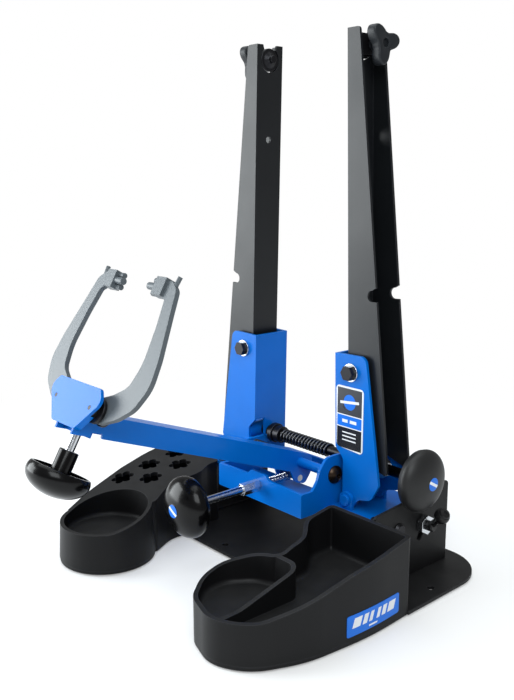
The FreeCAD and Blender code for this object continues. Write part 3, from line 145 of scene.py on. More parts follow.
FINISHES: dict[Surface, Finish] = {
    Surface.BLUE: Finish(
        colour=(0.0, 0.128, 0.52), worn=(0.02, 0.25, 0.80), roughness=0.30, spread=0.04, specular=0.09,
        coat=0.12, grain=420.0, relief=0.000010, wear_radius=0.0012, dust=0.003,
    ),
    Surface.POWDER: Finish(
        colour=(0.0060, 0.0070, 0.0085), worn=(0.07, 0.075, 0.085), roughness=0.40, specular=0.33,
        grain=1500.0, relief=0.000016, wear=0.4, wear_radius=0.0009,
    ),
    Surface.MOULDED: Finish(
        colour=(0.0060, 0.0060, 0.0066), worn=(0.05, 0.05, 0.055), roughness=0.46, spread=0.08,
        specular=0.17, grain=1900.0, relief=0.00003, wear=0.4, wear_radius=0.0014,
    ),
    Surface.GLOSS: Finish(
        colour=(0.0012, 0.0012, 0.0015), worn=(0.02, 0.02, 0.022), roughness=0.22, spread=0.04,
        specular=0.16, coat=0.10, grain=500.0, relief=0.000006, wear=0.2, wear_radius=0.0008, dust=0.01,
    ),
    Surface.SATIN: Finish(
        colour=(0.006, 0.006, 0.0065), worn=(0.04, 0.04, 0.045), roughness=0.36,
        grain=1600.0, relief=0.000014, wear_radius=0.0009, dust=0.02,
    ),
    Surface.MATTE_KNOB: Finish(
        colour=(0.010, 0.010, 0.0105), worn=(0.035, 0.035, 0.038), roughness=0.46, specular=0.35,
        grain=1700.0, wear=0.25, wear_radius=0.0009, dust=0.02,
    ),
    Surface.CLAMP: Finish(
        colour=(0.011, 0.013, 0.016), worn=(0.08, 0.09, 0.10), roughness=0.45,
        grain=1500.0, wear=0.4, wear_radius=0.0012,
    ),
    Surface.TURNED: Finish(
        colour=(0.42, 0.43, 0.45), worn=(0.70, 0.70, 0.72), roughness=0.28, spread=0.08, metallic=1.0,
        grain=700.0, relief=0.000008, streak=14.0, wear_radius=0.0005,
    ),
    Surface.ZINC: Finish(
        colour=(0.62, 0.64, 0.67), worn=(0.85, 0.86, 0.88), roughness=0.22, metallic=1.0,
        relief=0.000006, wear_radius=0.0005,
    ),
    Surface.OXIDE: Finish(
        colour=(0.022, 0.022, 0.025), worn=(0.16, 0.16, 0.17), roughness=0.36, spread=0.08, metallic=0.8,
        grain=1200.0, relief=0.00001, wear=0.5, wear_radius=0.0005,
    ),
    Surface.BRONZE: Finish(
        colour=(0.040, 0.026, 0.018), worn=(0.22, 0.13, 0.08), roughness=0.30, spread=0.08, metallic=0.9,
        grain=1200.0, relief=0.00001, wear=0.6, wear_radius=0.0007,
    ),
    Surface.SPRING: Finish(
        colour=(0.075, 0.077, 0.082), worn=(0.30, 0.30, 0.31), roughness=0.24, metallic=0.9,
        grain=1400.0, relief=0.000006, wear=0.4, wear_radius=0.0004,
    ),
    Surface.THREAD: Finish(
        colour=(0.020, 0.020, 0.022), worn=(0.32, 0.32, 0.34), roughness=0.32, metallic=1.0,
        grain=1400.0, relief=0.000006, wear=0.5, wear_radius=0.0003,
    ),
    Surface.JAW: Finish(
        colour=(0.085, 0.100, 0.112), worn=(0.20, 0.23, 0.26), roughness=0.42, spread=0.04, specular=0.4,
        grain=420.0, relief=0.000010, wear=0.15,
    ),
    Surface.RUBBER: Finish(
        colour=(0.014, 0.014, 0.014), worn=(0.03, 0.03, 0.03), roughness=0.75, spread=0.05,
        grain=1500.0, relief=0.00003, wear=0.1, wear_radius=0.0008, dust=0.05,
    ),
    Surface.PRINT_BLUE: printed((0.002, 0.145, 0.66), (0.02, 0.25, 0.85)),
    Surface.PRINT_WHITE: printed((0.74, 0.76, 0.79), (0.85, 0.86, 0.88)),
    Surface.PRINT_DARK: printed((0.010, 0.011, 0.014), (0.03, 0.03, 0.035), 0.26),
    Surface.PRINT_GREY: printed((0.040, 0.043, 0.050), (0.10, 0.10, 0.11), 0.28),
}


# ---------------------------------------------------------------- node helpers
def link(tree: bpy.types.NodeTree, *pairs: tuple[bpy.types.NodeSocket, bpy.types.NodeSocket]) -> None:
    """Link outputs to inputs, pair by pair."""
    for start, end in pairs:
        tree.links.new(start, end)


def feed(tree: bpy.types.NodeTree, socket: bpy.types.NodeSocket, value: object) -> None:
    """Link an input to a socket, or set its value.

    Args:
        tree: Tree of the input.
        socket: The input.
        value: The socket that feeds it, or its value.
    """
    if isinstance(value, bpy.types.NodeSocket):
        tree.links.new(value, socket)
    else:
        socket.default_value = value


def worked(tree: bpy.types.NodeTree, kind: str, a: object, b: object) -> bpy.types.NodeSocket:
    """Work out a number in a tree.

    Args:
        tree: Tree to add to.
        kind: Math operation.
        a: First value or socket.
        b: Second value or socket.

    Returns:
        The result socket.
    """
    node = tree.nodes.new("ShaderNodeMath")
    node.operation = kind
    feed(tree, node.inputs[0], a)
    feed(tree, node.inputs[1], b)
    return node.outputs[0]


def new_tree(
    kind: str, name: str, inputs: dict[str, object], outputs: dict[str, object]
) -> bpy.types.NodeTree:
    """Make a node group with named sockets and its end nodes, called in and out.

    Args:
        kind: Type of tree.
        name: Group name.
        inputs: Starting value of each input, or its socket type where it has none.
        outputs: The same for the outputs.

    Returns:
        The new tree.
    """
    tree = bpy.data.node_groups.new(name, kind)
    for way, sockets in (("INPUT", inputs), ("OUTPUT", outputs)):
        for label, value in sockets.items():
            typed = SOCKETS.get(type(value), value)
            socket = tree.interface.new_socket(label, in_out=way, socket_type=typed)
            if typed != value:
                socket.default_value = value
    tree.nodes.new("NodeGroupInput").name = "in"
    tree.nodes.new("NodeGroupOutput").name = "out"
    return tree


class ShaderShop:
    """Builds the shared node groups once and the materials from them."""

    def __init__(self) -> None:
        """Make the groups first; materials follow on demand."""
        self.grain = self._grain_group()
        self.wear = self._wear_group()
        self.dust = self._dust_group()
        self._made: dict[Surface, bpy.types.Material] = {}

    @staticmethod
    def _noise(
        tree: bpy.types.NodeTree, scale: object, stretch: object, detail: float
    ) -> bpy.types.NodeSocket:
        """Add noise on Object coordinates, stretched along X.

        Args:
            tree: Tree to add to.
            scale: Cells per metre, value or socket.
            stretch: How much longer the cells are along X, value or socket.
            detail: Octaves.

        Returns:
            The noise factor.
        """
        where = tree.nodes.new("ShaderNodeTexCoord")
        apart = tree.nodes.new("ShaderNodeSeparateXYZ")
        back = tree.nodes.new("ShaderNodeCombineXYZ")
        noise = tree.nodes.new("ShaderNodeTexNoise")
        noise.inputs["Detail"].default_value = detail
        link(
            tree, (where.outputs["Object"], apart.inputs[0]), (apart.outputs[1], back.inputs[1]),
            (apart.outputs[2], back.inputs[2]), (back.outputs[0], noise.inputs["Vector"]),
            (worked(tree, "DIVIDE", apart.outputs[0], stretch), back.inputs[0]),
        )
        feed(tree, noise.inputs["Scale"], scale)
        return noise.outputs["Fac"]

    def _grain_group(self) -> bpy.types.NodeTree:
        """Make fine relief with a broad wander of tone.

        Returns:
            The group.
        """
        sizes = {"Scale": 900.0, "Stretch": 1.0}
        tree = new_tree("ShaderNodeTree", "surface_grain", sizes, {"Height": 0.0, "Tone": 0.0})
        given = tree.nodes["in"].outputs
        fine = self._noise(tree, given["Scale"], given["Stretch"], 2.0)
        broad = self._noise(tree, BROAD_CELLS, 1.0, 3.0)
        out = tree.nodes["out"].inputs
        link(tree, (fine, out["Height"]), (broad, out["Tone"]))
        return tree

    def _wear_group(self) -> bpy.types.NodeTree:
        """Make a mask that is high on convex edges and broken up by noise.

        Returns:
            The group.
        """
        sizes = {"Radius": 0.0008, "Amount": 0.4}
        tree = new_tree("ShaderNodeTree", "edge_wear", sizes, {"Mask": 0.0})
        given = tree.nodes["in"].outputs
        soft = tree.nodes.new("ShaderNodeBevel")
        soft.samples = 4
        sharp = tree.nodes.new("ShaderNodeNewGeometry")
        dot = tree.nodes.new("ShaderNodeVectorMath")
        dot.operation = "DOT_PRODUCT"
        link(
            tree, (given["Radius"], soft.inputs["Radius"]), (soft.outputs[0], dot.inputs[0]),
            (sharp.outputs["Normal"], dot.inputs[1]),
        )
        turned = worked(tree, "SUBTRACT", 1.0, dot.outputs["Value"])
        lifted = worked(tree, "MULTIPLY", turned, EDGE_GAIN)
        broken = worked(tree, "ADD", self._noise(tree, WEAR_CELLS, 1.0, 4.0), EDGE_FLOOR)
        mask = worked(tree, "MULTIPLY", worked(tree, "MINIMUM", lifted, 1.0), broken)
        scaled = worked(tree, "MULTIPLY", mask, given["Amount"])
        link(tree, (worked(tree, "MINIMUM", scaled, 1.0), tree.nodes["out"].inputs["Mask"]))
        return tree

    def _dust_group(self) -> bpy.types.NodeTree:
        """Make a thin mask on faces that look up.

        Returns:
            The group.
        """
        tree = new_tree("ShaderNodeTree", "dust_film", {"Amount": 0.05}, {"Mask": 0.0})
        given = tree.nodes["in"].outputs
        face = tree.nodes.new("ShaderNodeNewGeometry")
        apart = tree.nodes.new("ShaderNodeSeparateXYZ")
        upward = worked(tree, "POWER", worked(tree, "MAXIMUM", apart.outputs[2], 0.0), DUST_FALL)
        cloud = self._noise(tree, DUST_CELLS, 1.0, 5.0)
        mask = worked(tree, "MULTIPLY", worked(tree, "MULTIPLY", upward, cloud), given["Amount"])
        link(tree, (face.outputs["Normal"], apart.inputs[0]), (mask, tree.nodes["out"].inputs["Mask"]))
        return tree

    def material(self, surface: Surface) -> bpy.types.Material:
        """Return the material of a surface, made on first use.

        Args:
            surface: Which surface.

        Returns:
            The material.
        """
        if surface not in self._made:
            self._made[surface] = self._build(surface.value, FINISHES[surface])
        return self._made[surface]

    @staticmethod
    def _mix(
        tree: bpy.types.NodeTree, mask: bpy.types.NodeSocket, low: object, high: object
    ) -> bpy.types.NodeSocket:
        """Mix two colours by a mask.

        Args:
            tree: Tree to add to.
            mask: How much of the second colour shows.
            low: First colour or socket.
            high: Second colour or socket.

        Returns:
            The mixed colour.
        """
        node = tree.nodes.new("ShaderNodeMix")
        node.data_type = "RGBA"
        link(tree, (mask, node.inputs["Factor"]))
        for socket, value in ((node.inputs[6], low), (node.inputs[7], high)):
            feed(tree, socket, (*value, 1.0) if isinstance(value, tuple) else value)
        return node.outputs[2]

    def _build(self, name: str, finish: Finish) -> bpy.types.Material:
        """Build one material from the groups.

        Args:
            name: Material name.
            finish: Its numbers.

        Returns:
            The material.
        """
        made = bpy.data.materials.new(name)
        made.use_nodes = True
        tree = made.node_tree
        shader = tree.nodes["Principled BSDF"].inputs
        shader["Metallic"].default_value = finish.metallic
        shader["Coat Weight"].default_value = finish.coat
        shader["Coat Roughness"].default_value = COAT_ROUGHNESS
        shader["Specular IOR Level"].default_value = finish.specular
        grain = self._place(tree, self.grain, {"Scale": finish.grain, "Stretch": finish.streak})
        wear = self._place(tree, self.wear, {"Radius": finish.wear_radius, "Amount": finish.wear})
        dust = self._place(tree, self.dust, {"Amount": finish.dust})
        darker = tuple(channel * DARKER for channel in finish.colour)
        lighter = tuple(min(channel * LIGHTER, 1.0) for channel in finish.colour)
        toned = self._mix(tree, grain.outputs["Tone"], darker, lighter)
        rubbed = self._mix(tree, wear.outputs["Mask"], toned, finish.worn)
        dusty = self._mix(tree, dust.outputs["Mask"], rubbed, DUST_TONE)
        low = finish.roughness - finish.spread
        wander = worked(tree, "MULTIPLY", grain.outputs["Tone"], finish.spread * 2.0)
        bump = tree.nodes.new("ShaderNodeBump")
        bump.inputs["Strength"].default_value = BUMP_STRENGTH
        bump.inputs["Distance"].default_value = finish.relief
        link(
            tree, (dusty, shader["Base Color"]), (worked(tree, "ADD", wander, low), shader["Roughness"]),
            (grain.outputs["Height"], bump.inputs["Height"]), (bump.outputs["Normal"], shader["Normal"]),
        )
        return made

    @staticmethod
    def _place(
        tree: bpy.types.NodeTree, group: bpy.types.NodeTree, values: dict[str, float]
    ) -> bpy.types.Node:
        """Place a group in a material with its values set.

        Args:
            tree: The material's tree.
            group: The group.
            values: Its input values by name.

        Returns:
            The group's node.
        """
        node = tree.nodes.new("ShaderNodeGroup")
        node.node_tree = group
        for label, value in values.items():
            node.inputs[label].default_value = value
        return node


SHOP = ShaderShop()


# ---------------------------------------------------------------- mesh tools
def new_object(name: str, data: bpy.types.ID) -> bpy.types.Object:
    """Link a mesh, lamp or camera into the scene.

    Args:
        name: Name of the object.
        data: What it shows.

    Returns:
        The object.
    """
    made = bpy.data.objects.new(name, data)
    bpy.context.scene.collection.objects.link(made)
    return made


def mesh_of(name: str, shape: bmesh.types.BMesh) -> bpy.types.Mesh:
    """Turn a shape into a mesh.

    Args:
        name: Mesh name.
        shape: The shape; it is freed.

    Returns:
        The mesh.
    """
    mesh = bpy.data.meshes.new(name)
    shape.to_mesh(mesh)
    shape.free()
    return mesh


def from_bmesh(
    name: str, shape: bmesh.types.BMesh, surface: Surface, smooth: float = 35.0
) -> bpy.types.Object:
    """Turn a bmesh into an object with one finish and angle-based smoothing.

    Args:
        name: Object name.
        shape: The geometry; it is freed.
        surface: Its finish.
        smooth: Edges sharper than this many degrees stay sharp.

    Returns:
        The object.
    """
    mesh = mesh_of(name, shape)
    mesh.materials.append(SHOP.material(surface))
    mesh.shade_smooth()
    mesh.set_sharp_from_angle(angle=math.radians(smooth))
    return new_object(name, mesh)


def along(origin: Sequence[float], axis: Sequence[float]) -> Matrix:
    """The matrix that stands +Z along an axis at an origin, in metres."""
    turn = Vector(axis).to_track_quat("Z", "Y").to_matrix().to_4x4()
    return Matrix.Translation(Vector(origin)) @ turn


def skin(shape: bmesh.types.BMesh, rings: Sequence[Sequence[bmesh.types.BMVert]], steps: int) -> None:
    """Lay faces between rings of vertices.

    Args:
        shape: The shape that holds the vertices.
        rings: The rings in order, each closed; one of a single vertex is a pole.
        steps: Vertices in a full ring.
    """
    for lower, upper in zip(rings, rings[1:]):
        for step in range(steps):
            after = (step + 1) % steps
            corners = [lower[step % len(lower)], lower[after % len(lower)]]
            corners += [upper[after % len(upper)], upper[step % len(upper)]]
            unique = list(dict.fromkeys(corners))
            if len(unique) > 2:
                shape.faces.new(unique)
    bmesh.ops.recalc_face_normals(shape, faces=shape.faces)


def lathe(profile: Profile, place: Matrix, segments: int = 64) -> bmesh.types.BMesh:
    """Revolve a profile round +Z and place it.

    Args:
        profile: Radius and height pairs in millimetres; ends on the axis are closed to a pole.
        place: Where it goes.
        segments: Steps round the axis.

    Returns:
        The closed shape.
    """
    shape = bmesh.new()
    rings: list[list[bmesh.types.BMVert]] = []
    for radius, height in [(r * MM, h * MM) for r, h in profile]:
        if radius < 1e-7:
            rings.append([shape.verts.new((0.0, 0.0, height))])
            continue
        turns = [2.0 * math.pi * step / segments for step in range(segments)]
        rings.append([shape.verts.new((radius * math.cos(t), radius * math.sin(t), height)) for t in turns])
    bmesh.ops.transform(shape, matrix=place, verts=shape.verts)
    skin(shape, rings, segments)
    return shape


def arc(
    centre: tuple[float, float], radii: tuple[float, float], start: float, end: float, steps: int
) -> Profile:
    """Lay points on an elliptical arc of a profile.

    Args:
        centre: Middle of the ellipse.
        radii: Its half widths.
        start: First angle in degrees.
        end: Last angle in degrees.
        steps: Number of steps.

    Returns:
        The points, both ends included.
    """
    points = []
    for step in range(steps + 1):
        turn = math.radians(start + (end - start) * step / steps)
        points.append((centre[0] + radii[0] * math.cos(turn), centre[1] + radii[1] * math.sin(turn)))
    return points


def plain_mesh(made: bpy.types.Object) -> bpy.types.Object:
    """Turn an object's evaluated modifiers into a plain mesh.

    Args:
        made: The object.

    Returns:
        The same object.
    """
    seen = made.evaluated_get(bpy.context.evaluated_depsgraph_get())
    mesh = bpy.data.meshes.new_from_object(seen)
    made.modifiers.clear()
    made.data = mesh
    return made


def welded(node: str, mark: Callable[[bmesh.types.BMFace], bool] | None = None) -> bmesh.types.BMesh:
    """Copy a solid's mesh and join its split corners.

    Args:
        node: The solid's name.
        mark: Tells the faces that take a second finish.

    Returns:
        The copy.
    """
    shape = bmesh.new()
    shape.from_mesh(frame["nodes"][node].data)
    for face in shape.faces:
        face.material_index = int(mark is not None and mark(face))
    bmesh.ops.remove_doubles(shape, verts=shape.verts, dist=WELD)
    return shape


def rounded_copy(
    node: str, surface: Surface, radius: float,
    mark: Callable[[bmesh.types.BMFace], bool] | None = None, second: Surface | None = None,
) -> None:
    """Copy a solid with its sharp edges rounded, and let the copy stand for it.

    Args:
        node: The solid's name.
        surface: Its finish.
        radius: Edge round in millimetres.
        mark: Tells the faces that take the second finish.
        second: The second finish.
    """
    shape = welded(node, mark)
    bmesh.ops.dissolve_limit(
        shape, angle_limit=math.radians(ONE_FACE_DEG), verts=shape.verts, edges=shape.edges,
        delimit={"MATERIAL"},
    )
    bmesh.ops.recalc_face_normals(shape, faces=shape.faces)
    made = from_bmesh(node + "_piece", shape, surface, 60.0)
    if second is not None:
        made.data.materials.append(SHOP.material(second))
    edge = made.modifiers.new("round", "BEVEL")
    edge.width = radius * MM
    edge.segments = ROUND_STEPS
    edge.limit_method = "ANGLE"
    edge.angle_limit = math.radians(ROUND_DEG)
    edge.miter_outer = "MITER_ARC"
    flat = made.modifiers.new("flat", "WEIGHTED_NORMAL")
    flat.weight = 100
    flat.keep_sharp = True
    stand_in(plain_mesh(made), node)


def settle(made: bpy.types.Object, node: str) -> None:
    """Ride a piece on the body of a solid and report it.

    Args:
        made: The piece.
        node: The solid.
    """
    bodies = frame["record"]["behaviour"]["bodies"]
    body = next(name for name, nodes in bodies.items() if node in nodes)
    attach(made, body)
    LOG.info("%s rides on %s with %d faces", made.name, body, len(made.data.polygons))


def stand_in(made: bpy.types.Object, node: str) -> None:
    """Let a piece stand for a solid and ride where it rides."""
    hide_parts(node)
    settle(made, node)


def joint(name: str) -> tuple[Vector, Vector]:
    """Find the place and the unit axis of a joint."""
    found = next(item for item in frame["record"]["behaviour"]["joints"] if item["name"] == name)
    return Vector(found["pos_m"]), Vector(found["axis"]).normalized()


# ---------------------------------------------------------------- geometry-node tools
def sized_tree(name: str, **sizes: float) -> bpy.types.NodeTree:
    """Make a geometry tree with named sizes and a finish."""
    inputs = {"Geometry": "NodeSocketGeometry", **sizes, "Finish": "NodeSocketMaterial"}
    return new_tree("GeometryNodeTree", name, inputs, {"Geometry": "NodeSocketGeometry"})


def close_tree(tree: bpy.types.NodeTree, result: bpy.types.NodeSocket) -> None:
    """End a tree in Realize Instances and Set Material.

    Args:
        tree: The tree.
        result: The geometry to finish.
    """
    real = tree.nodes.new("GeometryNodeRealizeInstances")
    paint = tree.nodes.new("GeometryNodeSetMaterial")
    link(
        tree, (result, real.inputs[0]), (real.outputs[0], paint.inputs["Geometry"]),
        (tree.nodes["in"].outputs["Finish"], paint.inputs["Material"]),
        (paint.outputs[0], tree.nodes["out"].inputs[0]),
    )


def grow(
    name: str, tree: bpy.types.NodeTree, values: dict[str, object], place: Matrix, smooth: float = 35.0,
    start: bmesh.types.BMesh | None = None,
) -> bpy.types.Object:
    """Run a geometry tree and keep its result as a plain mesh.

    Args:
        name: Name of the piece.
        tree: The geometry tree.
        values: Input values by name.
        place: Where the result goes.
        smooth: Edges sharper than this many degrees stay sharp.
        start: Shape that goes into the tree, if it takes one; it is freed.

    Returns:
        The finished object.
    """
    made = new_object(name, mesh_of(name, bmesh.new() if start is None else start))
    maker = made.modifiers.new("maker", "NODES")
    maker.node_group = tree
    for item in tree.interface.items_tree:
        if item.item_type == "SOCKET" and item.in_out == "INPUT" and item.name in values:
            maker[item.identifier] = values[item.name]
    made = plain_mesh(made)
    made.data.transform(place)
    made.data.shade_smooth()
    made.data.set_sharp_from_angle(angle=math.radians(smooth))
    return made


def raised(tree: bpy.types.NodeTree, shape: bpy.types.NodeSocket, height: object) -> bpy.types.NodeSocket:
    """Move a shape up Z in a geometry tree.

    Args:
        tree: Tree to add to.
        shape: The geometry.
        height: Rise, value or socket.

    Returns:
        The moved geometry.
    """
    lift = tree.nodes.new("ShaderNodeCombineXYZ")
    move = tree.nodes.new("GeometryNodeTransform")
    feed(tree, lift.inputs[2], height)
    link(tree, (shape, move.inputs["Geometry"]), (lift.outputs[0], move.inputs["Translation"]))
    return move.outputs[0]


def helix(tree: bpy.types.NodeTree, steps: int, round_steps: int) -> tuple[bpy.types.Node, bpy.types.Node]:
    """Sweep a round wire along a spiral in a geometry tree.

    Args:
        tree: Tree to add to.
        steps: Steps in each turn.
        round_steps: Steps round the wire.

    Returns:
        The spiral and the wire, whose sizes are still open, with the sweep linked as the last node.
    """
    path = tree.nodes.new("GeometryNodeCurveSpiral")
    path.inputs["Resolution"].default_value = steps
    wire = tree.nodes.new("GeometryNodeCurvePrimitiveCircle")
    wire.inputs["Resolution"].default_value = round_steps
    sweep = tree.nodes.new("GeometryNodeCurveToMesh")
    sweep.name = "sweep"
    sweep.inputs["Fill Caps"].default_value = True
    link(tree, (path.outputs[0], sweep.inputs["Curve"]), (wire.outputs[0], sweep.inputs["Profile Curve"]))
    return path, wire


def coil_tree() -> bpy.types.NodeTree:
    """Make a helical spring of round wire, standing on the XY plane.

    Returns:
        The tree.
    """
    tree = sized_tree("wire_coil", Turns=10.0, Radius=0.006, Wire=0.001, Height=0.05)
    given = tree.nodes["in"].outputs
    path, wire = helix(tree, 36, 10)
    link(
        tree, (given["Turns"], path.inputs["Rotations"]), (given["Radius"], path.inputs["Start Radius"]),
        (given["Radius"], path.inputs["End Radius"]), (given["Height"], path.inputs["Height"]),
        (given["Wire"], wire.inputs["Radius"]),
    )
    close_tree(tree, tree.nodes["sweep"].outputs[0])
    return tree


def thread_tree() -> bpy.types.NodeTree:
    """Make a threaded rod up Z with a plain part above the thread.

    Returns:
        The tree.
    """
    tree = sized_tree("threaded_rod", Radius=0.004, Depth=0.0004, Pitch=0.00125, Threaded=0.05, Plain=0.01)
    given = tree.nodes["in"].outputs
    core = worked(tree, "SUBTRACT", given["Radius"], worked(tree, "MULTIPLY", given["Depth"], 1.5))
    climb = worked(tree, "SUBTRACT", given["Threaded"], given["Pitch"])
    path, wire = helix(tree, 20, 6)
    join = tree.nodes.new("GeometryNodeJoinGeometry")
    half = worked(tree, "MULTIPLY", given["Pitch"], 0.5)
    link(
        tree, (worked(tree, "DIVIDE", climb, given["Pitch"]), path.inputs["Rotations"]),
        (core, path.inputs["Start Radius"]), (core, path.inputs["End Radius"]),
        (climb, path.inputs["Height"]), (given["Depth"], wire.inputs["Radius"]),
        (raised(tree, tree.nodes["sweep"].outputs[0], half), join.inputs[0]),
    )
    foot = worked(tree, "MULTIPLY", given["Threaded"], 0.5)
    plain_half = worked(tree, "MULTIPLY", given["Plain"], 0.5)
    above = worked(tree, "ADD", given["Threaded"], plain_half)
    rods = ((core, given["Threaded"], foot), (given["Radius"], given["Plain"], above))
    for radius, length, middle in rods:
        rod = tree.nodes.new("GeometryNodeMeshCylinder")
        rod.inputs["Vertices"].default_value = 40
        link(
            tree, (radius, rod.inputs["Radius"]), (length, rod.inputs["Depth"]),
            (raised(tree, rod.outputs["Mesh"], middle), join.inputs[0]),
        )
    close_tree(tree, join.outputs[0])
    return tree


def ring_tree() -> bpy.types.NodeTree:
    """Make copies of the given shape, turned evenly about Z.

    Returns:
        The tree.
    """
    tree = sized_tree("even_ring", Count=6)
    given = tree.nodes["in"].outputs
    spots = tree.nodes.new("GeometryNodePoints")
    index = tree.nodes.new("GeometryNodeInputIndex")
    angle = tree.nodes.new("ShaderNodeCombineXYZ")
    turn = tree.nodes.new("FunctionNodeEulerToRotation")
    copies = tree.nodes.new("GeometryNodeInstanceOnPoints")
    share = worked(tree, "DIVIDE", 2.0 * math.pi, given["Count"])
    link(
        tree, (worked(tree, "MULTIPLY", index.outputs[0], share), angle.inputs[2]),
        (angle.outputs[0], turn.inputs[0]), (given["Count"], spots.inputs["Count"]),
        (spots.outputs[0], copies.inputs["Points"]), (given["Geometry"], copies.inputs["Instance"]),
        (turn.outputs[0], copies.inputs["Rotation"]),
    )
    close_tree(tree, copies.outputs[0])
    return tree


def screw_tree() -> bpy.types.NodeTree:
    """Set domed screw heads at the points of the given shape, heads up.

    Returns:
        The tree.
    """
    tree = sized_tree("screw_heads", Radius=0.004, Rise=0.002)
    given = tree.nodes["in"].outputs
    ball = tree.nodes.new("GeometryNodeMeshUVSphere")
    ball.inputs["Segments"].default_value = 32
    ball.inputs["Rings"].default_value = 16
    ball.inputs["Radius"].default_value = 1.0
    size = tree.nodes.new("ShaderNodeCombineXYZ")
    flatten = tree.nodes.new("GeometryNodeTransform")
    copies = tree.nodes.new("GeometryNodeInstanceOnPoints")
    link(
        tree, (given["Radius"], size.inputs[0]), (given["Radius"], size.inputs[1]),
        (given["Rise"], size.inputs[2]), (ball.outputs["Mesh"], flatten.inputs["Geometry"]),
        (size.outputs[0], flatten.inputs["Scale"]), (given["Geometry"], copies.inputs["Points"]),
        (flatten.outputs[0], copies.inputs["Instance"]),
    )
    close_tree(tree, copies.outputs[0])
    return tree


# ---------------------------------------------------------------- sub-assemblies
def islands(mesh: bpy.types.Mesh) -> list[list[int]]:
    """Find the separate pieces of a mesh.

    Args:
        mesh: The mesh.

    Returns:
        Face indices of each piece.
    """
    root = list(range(len(mesh.vertices)))

    def top(index: int) -> int:
        """Follow a vertex up to the head of its piece.

        Args:
            index: The vertex.

        Returns:
            The head.
        """
        while root[index] != index:
            root[index] = root[root[index]]
            index = root[index]
        return index

    for edge in mesh.edges:
        root[top(edge.vertices[0])] = top(edge.vertices[1])
    found: dict[int, list[int]] = {}
    for face in mesh.polygons:
        found.setdefault(top(face.vertices[0]), []).append(face.index)
    return list(found.values())


def span(mesh: bpy.types.Mesh, faces: Sequence[int]) -> tuple[Vector, Vector]:
    """Find the lowest and highest corners of some faces.

    Args:
        mesh: The mesh.
        faces: Indices of the faces.

    Returns:
        Both corners.
    """
    spots = [mesh.vertices[index].co for face in faces for index in mesh.polygons[face].vertices]
    low = Vector([min(spot[axis] for spot in spots) for axis in range(3)])
    high = Vector([max(spot[axis] for spot in spots) for axis in range(3)])
    return low, high


def paint(made: bpy.types.Object, surface: Surface, faces: Sequence[int]) -> None:
    """Give some faces of a piece another finish.

    Args:
        made: The piece.
        surface: The finish.
        faces: Indices of the faces.
    """
    finish = SHOP.material(surface)
    if finish.name not in made.data.materials:
        made.data.materials.append(finish)
    slot = made.data.materials.find(finish.name)
    for face in faces:
        made.data.polygons[face].material_index = slot


@dataclass
class PlainSet:
    """Solids that only need rounded edges and their finish.

    Args:
        table: Node name, finish and edge round in millimetres.
    """

    table: Sequence[tuple[str, Surface, float]]

    def build(self) -> None:
        """Round every solid and ride it."""
        for node, surface, radius in self.table:
            rounded_copy(node, surface, radius)


@dataclass
class BracketHardware:
    """The long bolt of a bracket: black heads on bright washers.

    Args:
        node: The solid it stands for.
        washer: Washer radius in millimetres.
        thick: Washer thickness in millimetres.
    """

    node: str
    washer: float = 9.0
    thick: float = 1.4

    def build(self) -> None:
        """Round the hardware and brighten its washers."""
        spots = [vertex.co for vertex in frame["nodes"][self.node].data.vertices]
        front = min(spot.y for spot in spots)
        head = [spot for spot in spots if spot.y < front + SAME_LEVEL]
        middle = Vector((min(s.x for s in head) + max(s.x for s in head), 0.0,
                         min(s.z for s in head) + max(s.z for s in head))) / 2.0
        rims = [spot for spot in spots if abs(self._off(spot, middle) - self.washer) < 0.05]
        first, last = min(spot.y for spot in rims), max(spot.y for spot in rims)
        depth = (self.thick + 0.05) * MM

        def bright(face: bmesh.types.BMFace) -> bool:
            """Tell a face of one of the two outer washers.

            Args:
                face: The face.

            Returns:
                Whether it is one.
            """
            levels = [vertex.co.y for vertex in face.verts]
            near = max(levels) < first + depth or min(levels) > last - depth
            return near and max(self._off(vertex.co, middle) for vertex in face.verts) > self.washer - 0.05

        rounded_copy(self.node, Surface.OXIDE, 0.35, bright, Surface.ZINC)

    @staticmethod
    def _off(spot: Vector, middle: Vector) -> float:
        """Distance of a spot from the bolt's axis in millimetres."""
        return math.hypot(spot.x - middle.x, spot.z - middle.z) / MM


